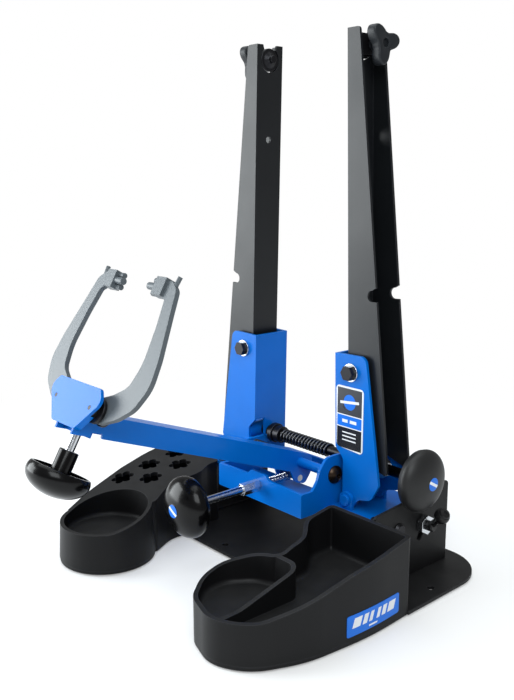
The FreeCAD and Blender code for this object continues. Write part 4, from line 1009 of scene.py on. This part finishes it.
@dataclass
class HandKnob:
    """A hollow domed hand knob with ribs, a hub and a badge.

    Args:
        node: The solid it stands for.
        joint: The joint it turns on.
        side: 1 where the crown looks along the joint's axis, -1 where it looks back.
        surface: Its finish.
        radius: Dome radius in millimetres.
        depth: Rim to crown in millimetres.
        hub: Hub radius in millimetres.
        hub_length: Hub length behind the rim in millimetres.
        ribs: Tree that copies the ribs round the hub.
        badge: The badge solid, if the knob has one.
        bar: Heading of the bar across the badge in degrees.
        rim: Height of the rim's widest line in millimetres.
        wall: Wall thickness in millimetres.
        badge_radius: Badge radius in millimetres.
        badge_rise: How far the badge stands over the crown in millimetres.
        rib: Half a rib's thickness in millimetres.
        sunk: How deep the ribs sit in the wall in millimetres.
    """

    node: str
    joint: str
    side: float
    surface: Surface
    radius: float
    depth: float
    hub: float
    hub_length: float
    ribs: bpy.types.NodeTree
    badge: str = ""
    bar: float = 0.0
    rim: float = 6.0
    wall: float = 3.0
    badge_radius: float = 7.0
    badge_rise: float = 0.3
    rib: float = 1.0
    sunk: float = 0.5

    def profile(self) -> Profile:
        """Draw the knob's section from hub end to crown.

        Returns:
            Radius and height pairs in millimetres.
        """
        inner = self.radius - self.wall
        roof = self.depth - self.wall
        dome = (self.radius, self.depth - self.rim)
        points = [(0.0, -self.hub_length), (self.hub - 1.0, -self.hub_length)]
        points += arc((self.hub - 1.0, 1.0 - self.hub_length), (1.0, 1.0), -90, 0, 4)[1:]
        climb = math.degrees(math.asin(min((self.hub + 0.1) / inner, 1.0)))
        points += arc((0.0, self.rim), (inner, roof - self.rim), 90 - climb, 0, 16)
        points += arc((inner - 1.0, 1.6), (1.3, 1.6), 0, -90, 4)
        points += arc((self.radius - 2.6, 1.4), (1.4, 1.4), -90, -25, 5)
        points += arc((0.0, self.rim), dome, -12, 90, 30)
        return [(max(r, 0.0), h) for r, h in points]

    def build(self) -> None:
        """Turn the knob, its ribs and its badge."""
        where = self._place()
        knob = from_bmesh(self.node + "_piece", lathe(self.profile(), where, 96), self.surface, 40.0)
        stand_in(knob, self.node)
        settle(self._ribs(where), self.node)
        if self.badge:
            self._badge(where)

    def _place(self) -> Matrix:
        """Stand the knob on its joint's axis, its crown level with the solid's.

        Returns:
            The knob's place.
        """
        origin, axis = joint(self.joint)
        axis *= self.side
        solid = frame["nodes"][self.node]
        crown = max((solid.matrix_world @ vertex.co - origin).dot(axis) for vertex in solid.data.vertices)
        return along(origin + axis * (crown - self.depth * MM), axis)

    def _ribs(self, where: Matrix) -> bpy.types.Object:
        """Make one rib and copy it round the inside of the dome.

        Args:
            where: The knob's place.

        Returns:
            The ribs.
        """
        shape = bmesh.new()
        reach, roof = self.radius - self.wall + self.sunk, self.depth - self.wall + self.sunk
        outline = [(self.hub - 1.0, 2.0), (reach - 2.0, 2.0)]
        outline += arc((0.0, self.rim), (reach, roof - self.rim), 0, 80, 10)
        sides = []
        for offset in (-self.rib, self.rib):
            sides.append([shape.verts.new((r * MM, offset * MM, h * MM)) for r, h in outline])
        shape.faces.new(sides[0])
        shape.faces.new(list(reversed(sides[1])))
        skin(shape, sides, len(outline))
        values = {"Count": 6, "Finish": SHOP.material(self.surface)}
        return grow(self.node + "_ribs", self.ribs, values, where, 35.0, shape)

    def _badge(self, where: Matrix) -> None:
        """Make a domed round badge: a dark ring round a blue field with a white bar across it.

        Args:
            where: The knob's place.
        """
        rise = (self.depth - self.rim) * math.sqrt(1.0 - (self.badge_radius / self.radius) ** 2)
        low, crown = self.rim + rise - 0.2, self.depth + self.badge_rise
        rows = [(0.0, low), (self.badge_radius, low)]
        rows += arc((0.0, low + 0.25), (self.badge_radius, crown - low - 0.25), 0, 90, 24)
        disc = from_bmesh(self.badge + "_piece", lathe(rows, where, 96), Surface.PRINT_BLUE)
        back = where.inverted()
        way = Vector((math.cos(math.radians(self.bar)), math.sin(math.radians(self.bar))))
        ring, bar = [], []
        for face in disc.data.polygons:
            spot = (back @ face.center).xy / MM
            if spot.length > self.badge_radius - 0.8:
                ring.append(face.index)
            elif abs(spot.dot(way)) < 1.3:
                bar.append(face.index)
        paint(disc, self.surface, ring)
        paint(disc, Surface.PRINT_WHITE, bar)
        stand_in(disc, self.badge)


@dataclass
class ClampKnob:
    """A three-pointed clamp knob with hollow sides on a round stem.

    Args:
        node: The solid it stands for.
        side: 1 for the right clamp, -1 for the left.
        height: Height of the axle line in millimetres.
        thick: Knob thickness in millimetres.
        waist: Least radius between two points in millimetres.
        reach: Radius at the points in millimetres.
        stem: Stem radius in millimetres.
        points: Where the points look, in degrees from +Y.
        steps: Steps round the knob.
    """

    node: str
    side: float
    height: float = 495.5
    thick: float = 10.2
    waist: float = 9.4
    reach: float = 19.3
    stem: float = 4.95
    points: tuple[float, float, float] = (12.0, 135.0, 262.0)
    steps: int = 120

    def radius(self, turn: float) -> float:
        """How far the knob reaches at an angle in degrees.

        Args:
            turn: The angle from +Y.

        Returns:
            The reach in millimetres.
        """
        lift = 0.0
        for point in self.points:
            apart = abs((turn - point + 180.0) % 360.0 - 180.0)
            if apart < 60.0:
                lift = max(lift, math.cos(math.radians(1.5 * apart)) ** 2.6)
        return self.waist + (self.reach - self.waist) * lift

    def build(self) -> None:
        """Loft the knob and ride it."""
        low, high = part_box(self.node)
        outer = high[0] if self.side > 0 else low[0]
        length = (high[0] - low[0]) / MM
        top = self.thick
        rows = [(None, self.stem, top - length + 0.3), (None, self.stem, 0.0)]
        rows += [(2.2, 0, 0.0), (0.8, 0, 0.35), (0.2, 0, 1.1), (0.0, 0, 2.2)]
        rows += [(0.0, 0, top - 2.2), (0.2, 0, top - 1.1), (0.8, 0, top - 0.35), (2.2, 0, top)]
        rows += [(None, 4.5, top), (None, 4.0, top - 0.4), (None, 4.0, top - 3.0)]
        shape = bmesh.new()
        loops = []
        for inset, radius, level in rows:
            loop = []
            for step in range(self.steps):
                angle = 360.0 / self.steps * step
                turn = math.radians(angle)
                far = radius if inset is None else self.radius(angle) - inset
                spot = (outer + self.side * (level - top) * MM, far * MM * math.cos(turn),
                        (self.height + far * math.sin(turn)) * MM)
                loop.append(shape.verts.new(spot))
            loops.append(loop)
        shape.faces.new(list(reversed(loops[0])))
        shape.faces.new(loops[-1])
        skin(shape, loops, self.steps)
        stand_in(from_bmesh(self.node + "_piece", shape, Surface.CLAMP, 50.0), self.node)


@dataclass
class TiltLever:
    """The lever of the tilt clamp: a round hub and a stem with a grooved ball.

    Args:
        node: The solid it stands for.
        hub_centre: Inner end of the hub in millimetres.
        hub: Hub radius in millimetres.
        hub_length: Hub length in millimetres.
        ball: Centre of the ball in millimetres.
        ball_radius: Ball radius in millimetres.
    """

    node: str = "tilt_lever"
    hub_centre: tuple[float, float, float] = (141.8, 21.0, 53.0)
    hub: float = 4.8
    hub_length: float = 7.5
    ball: tuple[float, float, float] = (158.0, 20.0, 67.5)
    ball_radius: float = 7.4

    def build(self) -> None:
        """Turn the hub and the stem with its ball."""
        hub, length = self.hub, self.hub_length
        rows = [(0.0, 0.0), (hub - 0.6, 0.0), (hub, 0.6), (hub, length - 1.2), (hub - 1.2, length)]
        rows += [(0.0, length)]
        middle = Vector(self.hub_centre) * MM
        shape = lathe(rows, along(middle, (1, 0, 0)), 48)
        stand_in(from_bmesh(self.node + "_hub", shape, Surface.SATIN), self.node)
        root = middle + Vector((0.5 * length, 0.0, 0.25 * hub)) * MM
        way = Vector(self.ball) * MM - root
        reach, ball = way.length / MM, self.ball_radius
        rows = [(0.0, 0.0), (3.6, 0.0), (3.1, reach * 0.45), (3.9, reach - ball)]
        rows += arc((0.0, reach), (ball, ball), -50, 35, 14)
        rows += [(5.4, reach + 4.0), (5.2, reach + 4.5), (5.6, reach + 4.7), (4.9, reach + 6.0)]
        rows += [(2.2, reach + 6.6), (1.6, reach + 5.4), (0.0, reach + 5.2)]
        shape = lathe(rows, along(root, way))
        settle(from_bmesh(self.node + "_piece", shape, Surface.SATIN), self.node)


@dataclass
class ScrewSets:
    """Screws that stand in rows, grown from one tree.

    Args:
        nodes: The solids they stand for.
        tree: Tree that sets a head on each place.
    """

    nodes: Sequence[str] = ("base_screws", "frame_screws")
    tree: bpy.types.NodeTree = field(default_factory=screw_tree)

    def build(self) -> None:
        """Set a domed head where each solid has one."""
        for node in self.nodes:
            solid = mesh_of(node + "_places", welded(node))
            places = bmesh.new()
            radius = rise = 0.0
            for faces in islands(solid):
                low, high = span(solid, faces)
                radius, rise = (high.x - low.x) / 2.0, high.z - low.z
                places.verts.new(((low.x + high.x) / 2.0, (low.y + high.y) / 2.0, low.z))
            values = {"Radius": radius, "Rise": rise, "Finish": SHOP.material(Surface.OXIDE)}
            stand_in(grow(node + "_piece", self.tree, values, Matrix.Identity(4), 60.0, places), node)


@dataclass
class Threads:
    """The threaded rods of the stand, grown from one tree.

    Args:
        tree: Tree that makes a threaded rod.
    """

    tree: bpy.types.NodeTree = field(default_factory=thread_tree)

    def build(self) -> None:
        """Grow the width screw, the height screw and the jaw screw."""
        down = joint("jaw_screw_turn")[1]
        if down.z > 0:
            down = -down
        self._rod("lead_screw", Vector((1, 0, 0)), Surface.THREAD, 130.0, 0.5, 1.5)
        self._rod("height_screw", Vector((0, -1, 0)), Surface.ZINC, 90.0, 0.2, 0.8)
        self._rod("jaw_screw", down, Surface.ZINC, 40.0, 0.2, 0.8)

    def _rod(
        self, node: str, way: Vector, surface: Surface, plain: float, depth: float, pitch: float
    ) -> None:
        """Grow one rod along a direction in place of a solid.

        Args:
            node: The solid it stands for.
            way: Its unit direction, from the threaded end.
            surface: Its finish.
            plain: Length without thread, at the far end, in millimetres.
            depth: Thread depth in millimetres.
            pitch: Thread pitch in millimetres.
        """
        solid = frame["nodes"][node]
        spots = [solid.matrix_world @ vertex.co for vertex in solid.data.vertices]
        levels = [spot.dot(way) for spot in spots]
        low, high = min(levels), max(levels)
        foot = [spot for spot, level in zip(spots, levels) if level < low + SAME_LEVEL]
        centre = sum(foot, Vector()) / len(foot)
        radius = max((spot - centre).length for spot in foot)
        values = {
            "Radius": radius, "Depth": depth * MM, "Pitch": pitch * MM,
            "Threaded": high - low - plain * MM, "Plain": plain * MM, "Finish": SHOP.material(surface),
        }
        stand_in(grow(node + "_piece", self.tree, values, along(centre, way), 40.0), node)


@dataclass
class Coils:
    """The springs of the stand, grown from one tree.

    Args:
        tree: Tree that makes a coil.
    """

    tree: bpy.types.NodeTree = field(default_factory=coil_tree)

    def build(self) -> None:
        """Grow the width-screw spring and the arm spring."""
        self._coil("lead_spring", 15.0, 1.15)
        self._coil("arm_spring", 11.0, 1.5)

    def _coil(self, node: str, turns: float, wire: float) -> None:
        """Grow one spring along +X in place of a solid, as long and wide as the solid.

        Args:
            node: The solid it stands for.
            turns: Number of turns.
            wire: Wire radius in millimetres.
        """
        low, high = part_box(node)
        size = Vector(high) - Vector(low)
        middle = (Vector(low) + Vector(high)) / 2.0
        start = (low[0] + wire * MM, middle.y, middle.z)
        values = {
            "Turns": turns, "Radius": size.z / 2.0 - wire * MM, "Wire": wire * MM,
            "Height": size.x - 2.0 * wire * MM, "Finish": SHOP.material(Surface.SPRING),
        }
        stand_in(grow(node + "_piece", self.tree, values, along(start, (1, 0, 0)), 60.0), node)


@dataclass
class PrintedPlate:
    """A thin plate printed with plain fields.

    Args:
        node: The solid it stands for.
        across: Axis of the plate's length, 0 for X and 1 for Y.
        ground: Finish under the fields.
        fields: Least and most share of length, least and most share of height, and finish; later
            fields lie on top.
        slope: Lean of the upright lines, as share of length over the height.
    """

    node: str
    across: int
    ground: Surface
    fields: Sequence[Field]
    slope: float = 0.0

    def finish(self, u: float, v: float) -> Surface:
        """Find the finish at a place.

        Args:
            u: Share of the length.
            v: Share of the height.

        Returns:
            The finish.
        """
        lean, found = u - self.slope * (v - 0.5), self.ground
        for left, right, low, high, surface in self.fields:
            if left < lean < right and low < v < high:
                found = surface
        return found

    def build(self) -> None:
        """Cut the plate along its fields and print them."""
        low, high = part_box(self.node)
        length, height = high[self.across] - low[self.across], high[2] - low[2]
        shape = welded(self.node)
        for level in sorted({share for patch in self.fields for share in patch[2:4]}):
            self._cut(shape, (0.0, 0.0, low[2] + level * height), (0.0, 0.0, 1.0))
        for share in sorted({share for patch in self.fields for share in patch[:2]}):
            spot = [0.0, 0.0, low[2] + 0.5 * height]
            spot[self.across] = low[self.across] + share * length
            way = [0.0, 0.0, -self.slope * length / height]
            way[self.across] = 1.0
            self._cut(shape, spot, way)
        made = from_bmesh(self.node + "_piece", shape, self.finish(0.5, 0.5), 20.0)
        for face in made.data.polygons:
            u = (face.center[self.across] - low[self.across]) / length
            paint(made, self.finish(u, (face.center.z - low[2]) / height), [face.index])
        stand_in(made, self.node)

    @staticmethod
    def _cut(shape: bmesh.types.BMesh, spot: Sequence[float], way: Sequence[float]) -> None:
        """Split all faces along a plane."""
        parts = list(shape.verts) + list(shape.edges) + list(shape.faces)
        bmesh.ops.bisect_plane(shape, geom=parts, dist=1e-7, plane_co=spot, plane_no=way)


@dataclass
class Labels:
    """The two printed plates, with a round sign on the bracket's."""

    def build(self) -> None:
        """Print both plates and lay the sign."""
        white, blue = Surface.PRINT_WHITE, Surface.PRINT_BLUE
        bracket = [
            (0.05, 0.95, 0.56, 0.972, Surface.PRINT_GREY), (0.05, 0.95, 0.37, 0.545, blue),
            (0.24, 0.44, 0.435, 0.485, white), (0.52, 0.76, 0.435, 0.485, white),
            (0.05, 0.95, 0.028, 0.355, Surface.PRINT_DARK),
        ]
        bracket += [(0.25, 0.75, low, low + 0.02, white) for low in (0.15, 0.21, 0.27)]
        PrintedPlate("bracket_label", 0, white, bracket).build()
        self._sign()
        blocks = ((0.10, 0.24), (0.28, 0.36), (0.40, 0.46), (0.54, 0.60), (0.64, 0.72), (0.76, 0.90))
        tray = [(left, right, 0.36, 0.80, white) for left, right in blocks]
        tray.append((0.42, 0.58, 0.14, 0.22, white))
        PrintedPlate("tray_label", 1, blue, tray, 0.10).build()

    @staticmethod
    def _sign() -> None:
        """A thin blue disc with a white bar on the bracket plate."""
        low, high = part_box("bracket_label")
        middle = ((low[0] + high[0]) / 2.0, low[1], low[2] + 0.76 * (high[2] - low[2]))
        rows = [(0.0, -0.1), (7.6, -0.1), (7.6, 0.04), (0.0, 0.04)]
        disc = lathe(rows, along(middle, (0, -1, 0)))
        settle(from_bmesh("bracket_sign", disc, Surface.PRINT_BLUE), "bracket_label")
        bar = bmesh.new()
        bmesh.ops.create_cube(bar, size=1.0)
        bmesh.ops.scale(bar, vec=Vector((24.0, 0.18, 2.6)) * MM, verts=bar.verts)
        place = Matrix.Translation(middle) @ Matrix.Rotation(math.radians(-6.0), 4, "Y")
        bmesh.ops.transform(bar, matrix=place, verts=bar.verts)
        settle(from_bmesh("bracket_sign_bar", bar, Surface.PRINT_WHITE), "bracket_label")


def plain_sets() -> PlainSet:
    """List the solids that keep their shape and gain rounded edges.

    Returns:
        The set of them.
    """
    table: list[tuple[str, Surface, float]] = [
        ("base_plate", Surface.MOULDED, 0.6), ("rubber_feet", Surface.RUBBER, 0.3),
        ("left_tray", Surface.MOULDED, 1.1), ("right_tray", Surface.MOULDED, 1.1),
        ("main_frame", Surface.BLUE, 0.6), ("tilt_pivot_bolts", Surface.OXIDE, 0.4),
        ("slot_bolts", Surface.ZINC, 0.3), ("upright_pivot_pins", Surface.BLUE, 0.3),
        ("arm_pivot_bolt", Surface.BRONZE, 0.3), ("screw_sleeve", Surface.ZINC, 0.3),
        ("tilt_clamp_nut", Surface.ZINC, 0.6), ("lead_collars", Surface.OXIDE, 0.5),
        ("lead_washer", Surface.TURNED, 0.4), ("caliper_arm", Surface.BLUE, 0.6),
        ("heel_roller", Surface.TURNED, 0.2), ("arm_pivot_tube", Surface.BLUE, 0.4),
        ("head_plate", Surface.BLUE, 0.7), ("jaw_studs", Surface.OXIDE, 0.3),
        ("jaw_washers", Surface.OXIDE, 0.4), ("jaw_nut_block", Surface.BLUE, 0.4),
        ("jaw_spool", Surface.TURNED, 0.2), ("thrust_cap", Surface.TURNED, 0.3),
    ]
    for side in ("left_", "right_"):
        table += [
            (side + "side_wall", Surface.MOULDED, 0.6), (side + "tilt_plate", Surface.OXIDE, 0.4),
            (side + "bracket", Surface.BLUE, 0.7), (side + "upright", Surface.POWDER, 0.6),
            (side + "clamp_bridge", Surface.OXIDE, 0.3), (side + "clamp_pad", Surface.OXIDE, 0.6),
            (side + "screw_nut", Surface.BLUE, 0.3), (side + "jaw", Surface.JAW, 0.4),
            (side + "jaw_tip", Surface.JAW, 0.35),
        ]
    return PlainSet(table)


def knobs() -> list[HandKnob]:
    """List the three hand knobs, placed by the crowns of their solids.

    Returns:
        The knobs.
    """
    ribs = ring_tree()
    return [
        HandKnob("main_knob", "width_screw_turn", 1.0, Surface.MATTE_KNOB, 29.5, 19.5, 9.0, 0.5, ribs,
                 "main_knob_badge", 60.0),
        HandKnob("height_knob", "height_screw_turn", -1.0, Surface.GLOSS, 29.5, 23.0, 9.0, 7.0, ribs,
                 "height_knob_badge", 60.0),
        HandKnob("jaw_knob", "jaw_screw_turn", -1.0, Surface.GLOSS, 28.0, 23.0, 8.5, 17.0, ribs),
    ]


# ---------------------------------------------------------------- stage
@dataclass(frozen=True)
class Studio:
    """Floor, lights and camera.

    Args:
        eye: Camera place in millimetres.
        yaw: Heading to the left of +Y in degrees.
        pitch: Degrees below level.
        roll: Turn about the view axis in degrees.
        lens: Focal length in millimetres.
        clear: Distances in metres between which the floor turns plain white.
        lift: Least share of plain white on the floor.
        ambient: Strength of the surround as a light.
        lamps: Name, place, aim, side in metres and power in watts: a low broad lamp at the left front,
            a fill by the camera and a wide one above.
        tint: Colour of the lamps.
        sensor: Sensor width in millimetres.
        floor: Radius of the floor in metres.
        under: How far the floor lies under the stand in metres.
    """

    eye: tuple[float, float, float] = (611.26, -602.70, 382.37)
    yaw: float = 48.996
    pitch: float = 11.669
    roll: float = 0.17
    lens: float = 43.78
    clear: tuple[float, float] = (0.30, 0.75)
    lift: float = 0.25
    ambient: float = 0.32
    lamps: tuple[tuple[str, Tone, Tone, float, float], ...] = (
        ("left_lamp", (-1.35, -1.20, 0.55), (0, -0.05, 0.25), 1.2, 40.0),
        ("fill_lamp", (1.30, -1.10, 1.50), (0, -0.05, 0.15), 1.2, 26.0),
        ("top_lamp", (-0.3, -0.1, 2.1), (0, -0.05, 0.1), 2.2, 34.0),
    )
    tint: Tone = (0.93, 0.98, 1.0)
    sensor: float = 36.0
    floor: float = 6.0
    under: float = 0.0002

    def build(self) -> None:
        """Set the floor, the lamps, the world and the camera."""
        self._floor()
        self._world()
        self._lamps()
        self._camera()
        bpy.context.scene.view_settings.view_transform = "Standard"

    def _floor(self) -> None:
        """A wide pale floor that keeps the stand's shadow and is plain white far out."""
        shape = bmesh.new()
        bmesh.ops.create_circle(shape, cap_ends=True, radius=self.floor, segments=96)
        bmesh.ops.translate(shape, vec=(0, 0, -self.under), verts=shape.verts)
        mesh = mesh_of("floor", shape)
        finish = bpy.data.materials.new("pale_floor")
        finish.use_nodes = True
        tree = finish.node_tree
        base = tree.nodes["Principled BSDF"]
        base.inputs["Base Color"].default_value = (0.94, 0.94, 0.94, 1.0)
        base.inputs["Roughness"].default_value = 0.7
        where = tree.nodes.new("ShaderNodeTexCoord")
        reach = tree.nodes.new("ShaderNodeVectorMath")
        reach.operation = "LENGTH"
        far = tree.nodes.new("ShaderNodeMapRange")
        far.interpolation_type = "SMOOTHSTEP"
        for label, value in zip(("From Min", "From Max", "To Min", "To Max"), (*self.clear, self.lift, 1.0)):
            far.inputs[label].default_value = value
        path = tree.nodes.new("ShaderNodeLightPath")
        glow = tree.nodes.new("ShaderNodeEmission")
        mix = tree.nodes.new("ShaderNodeMixShader")
        seen = worked(tree, "MAXIMUM", path.outputs["Is Camera Ray"], path.outputs["Is Transmission Ray"])
        link(
            tree, (where.outputs["Object"], reach.inputs[0]), (reach.outputs["Value"], far.inputs["Value"]),
            (worked(tree, "MULTIPLY", seen, far.outputs["Result"]), mix.inputs[0]),
            (base.outputs[0], mix.inputs[1]), (glow.outputs[0], mix.inputs[2]),
            (mix.outputs[0], tree.nodes["Material Output"].inputs[0]),
        )
        mesh.materials.append(finish)
        new_object("floor", mesh)

    def _world(self) -> None:
        """A white surround for the eye, much softer for the light it gives."""
        world = bpy.data.worlds.new("surround")
        bpy.context.scene.world = world
        world.use_nodes = True
        tree = world.node_tree
        seen, light = tree.nodes["Background"], tree.nodes.new("ShaderNodeBackground")
        for node, strength in ((seen, 1.0), (light, self.ambient)):
            node.inputs["Color"].default_value = (1, 1, 1, 1)
            node.inputs["Strength"].default_value = strength
        path = tree.nodes.new("ShaderNodeLightPath")
        mix = tree.nodes.new("ShaderNodeMixShader")
        link(
            tree, (path.outputs["Is Camera Ray"], mix.inputs[0]), (light.outputs[0], mix.inputs[1]),
            (seen.outputs[0], mix.inputs[2]), (mix.outputs[0], tree.nodes["World Output"].inputs[0]),
        )

    def _lamps(self) -> None:
        """Hang the square soft lamps."""
        for name, place, aim, size, power in self.lamps:
            lamp = bpy.data.lights.new(name, "AREA")
            lamp.shape = "SQUARE"
            lamp.size = size
            lamp.energy = power
            lamp.color = self.tint
            made = new_object(name, lamp)
            made.location = place
            made.rotation_mode = "QUATERNION"
            made.rotation_quaternion = (Vector(aim) - Vector(place)).to_track_quat("-Z", "Y")

    def _camera(self) -> None:
        """Put the camera before the stand, to the right."""
        lens = bpy.data.cameras.new("camera")
        lens.lens = self.lens
        lens.sensor_width = self.sensor
        lens.clip_start = 0.01
        eye = new_object("camera", lens)
        eye.location = [c * MM for c in self.eye]
        eye.rotation_euler = [math.radians(turn) for turn in (90.0 - self.pitch, self.roll, self.yaw)]
        bpy.context.scene.camera = eye


def main() -> None:
    """Build the stand piece by piece, then the studio."""
    logging.basicConfig(level=logging.INFO, format="%(name)s: %(message)s")
    pieces = [plain_sets()] + [BracketHardware(side + "_bracket_hardware") for side in ("left", "right")]
    pieces += knobs()
    pieces += [ClampKnob("left_clamp_knob", -1.0), ClampKnob("right_clamp_knob", 1.0), TiltLever()]
    pieces += [ScrewSets(), Threads(), Coils(), Labels(), Studio()]
    for piece in pieces:
        piece.build()
    for node in frame["nodes"].values():
        if not node.hide_render:
            LOG.info("%s shows as packed", node.name)


if __name__ == "__main__":
    main()
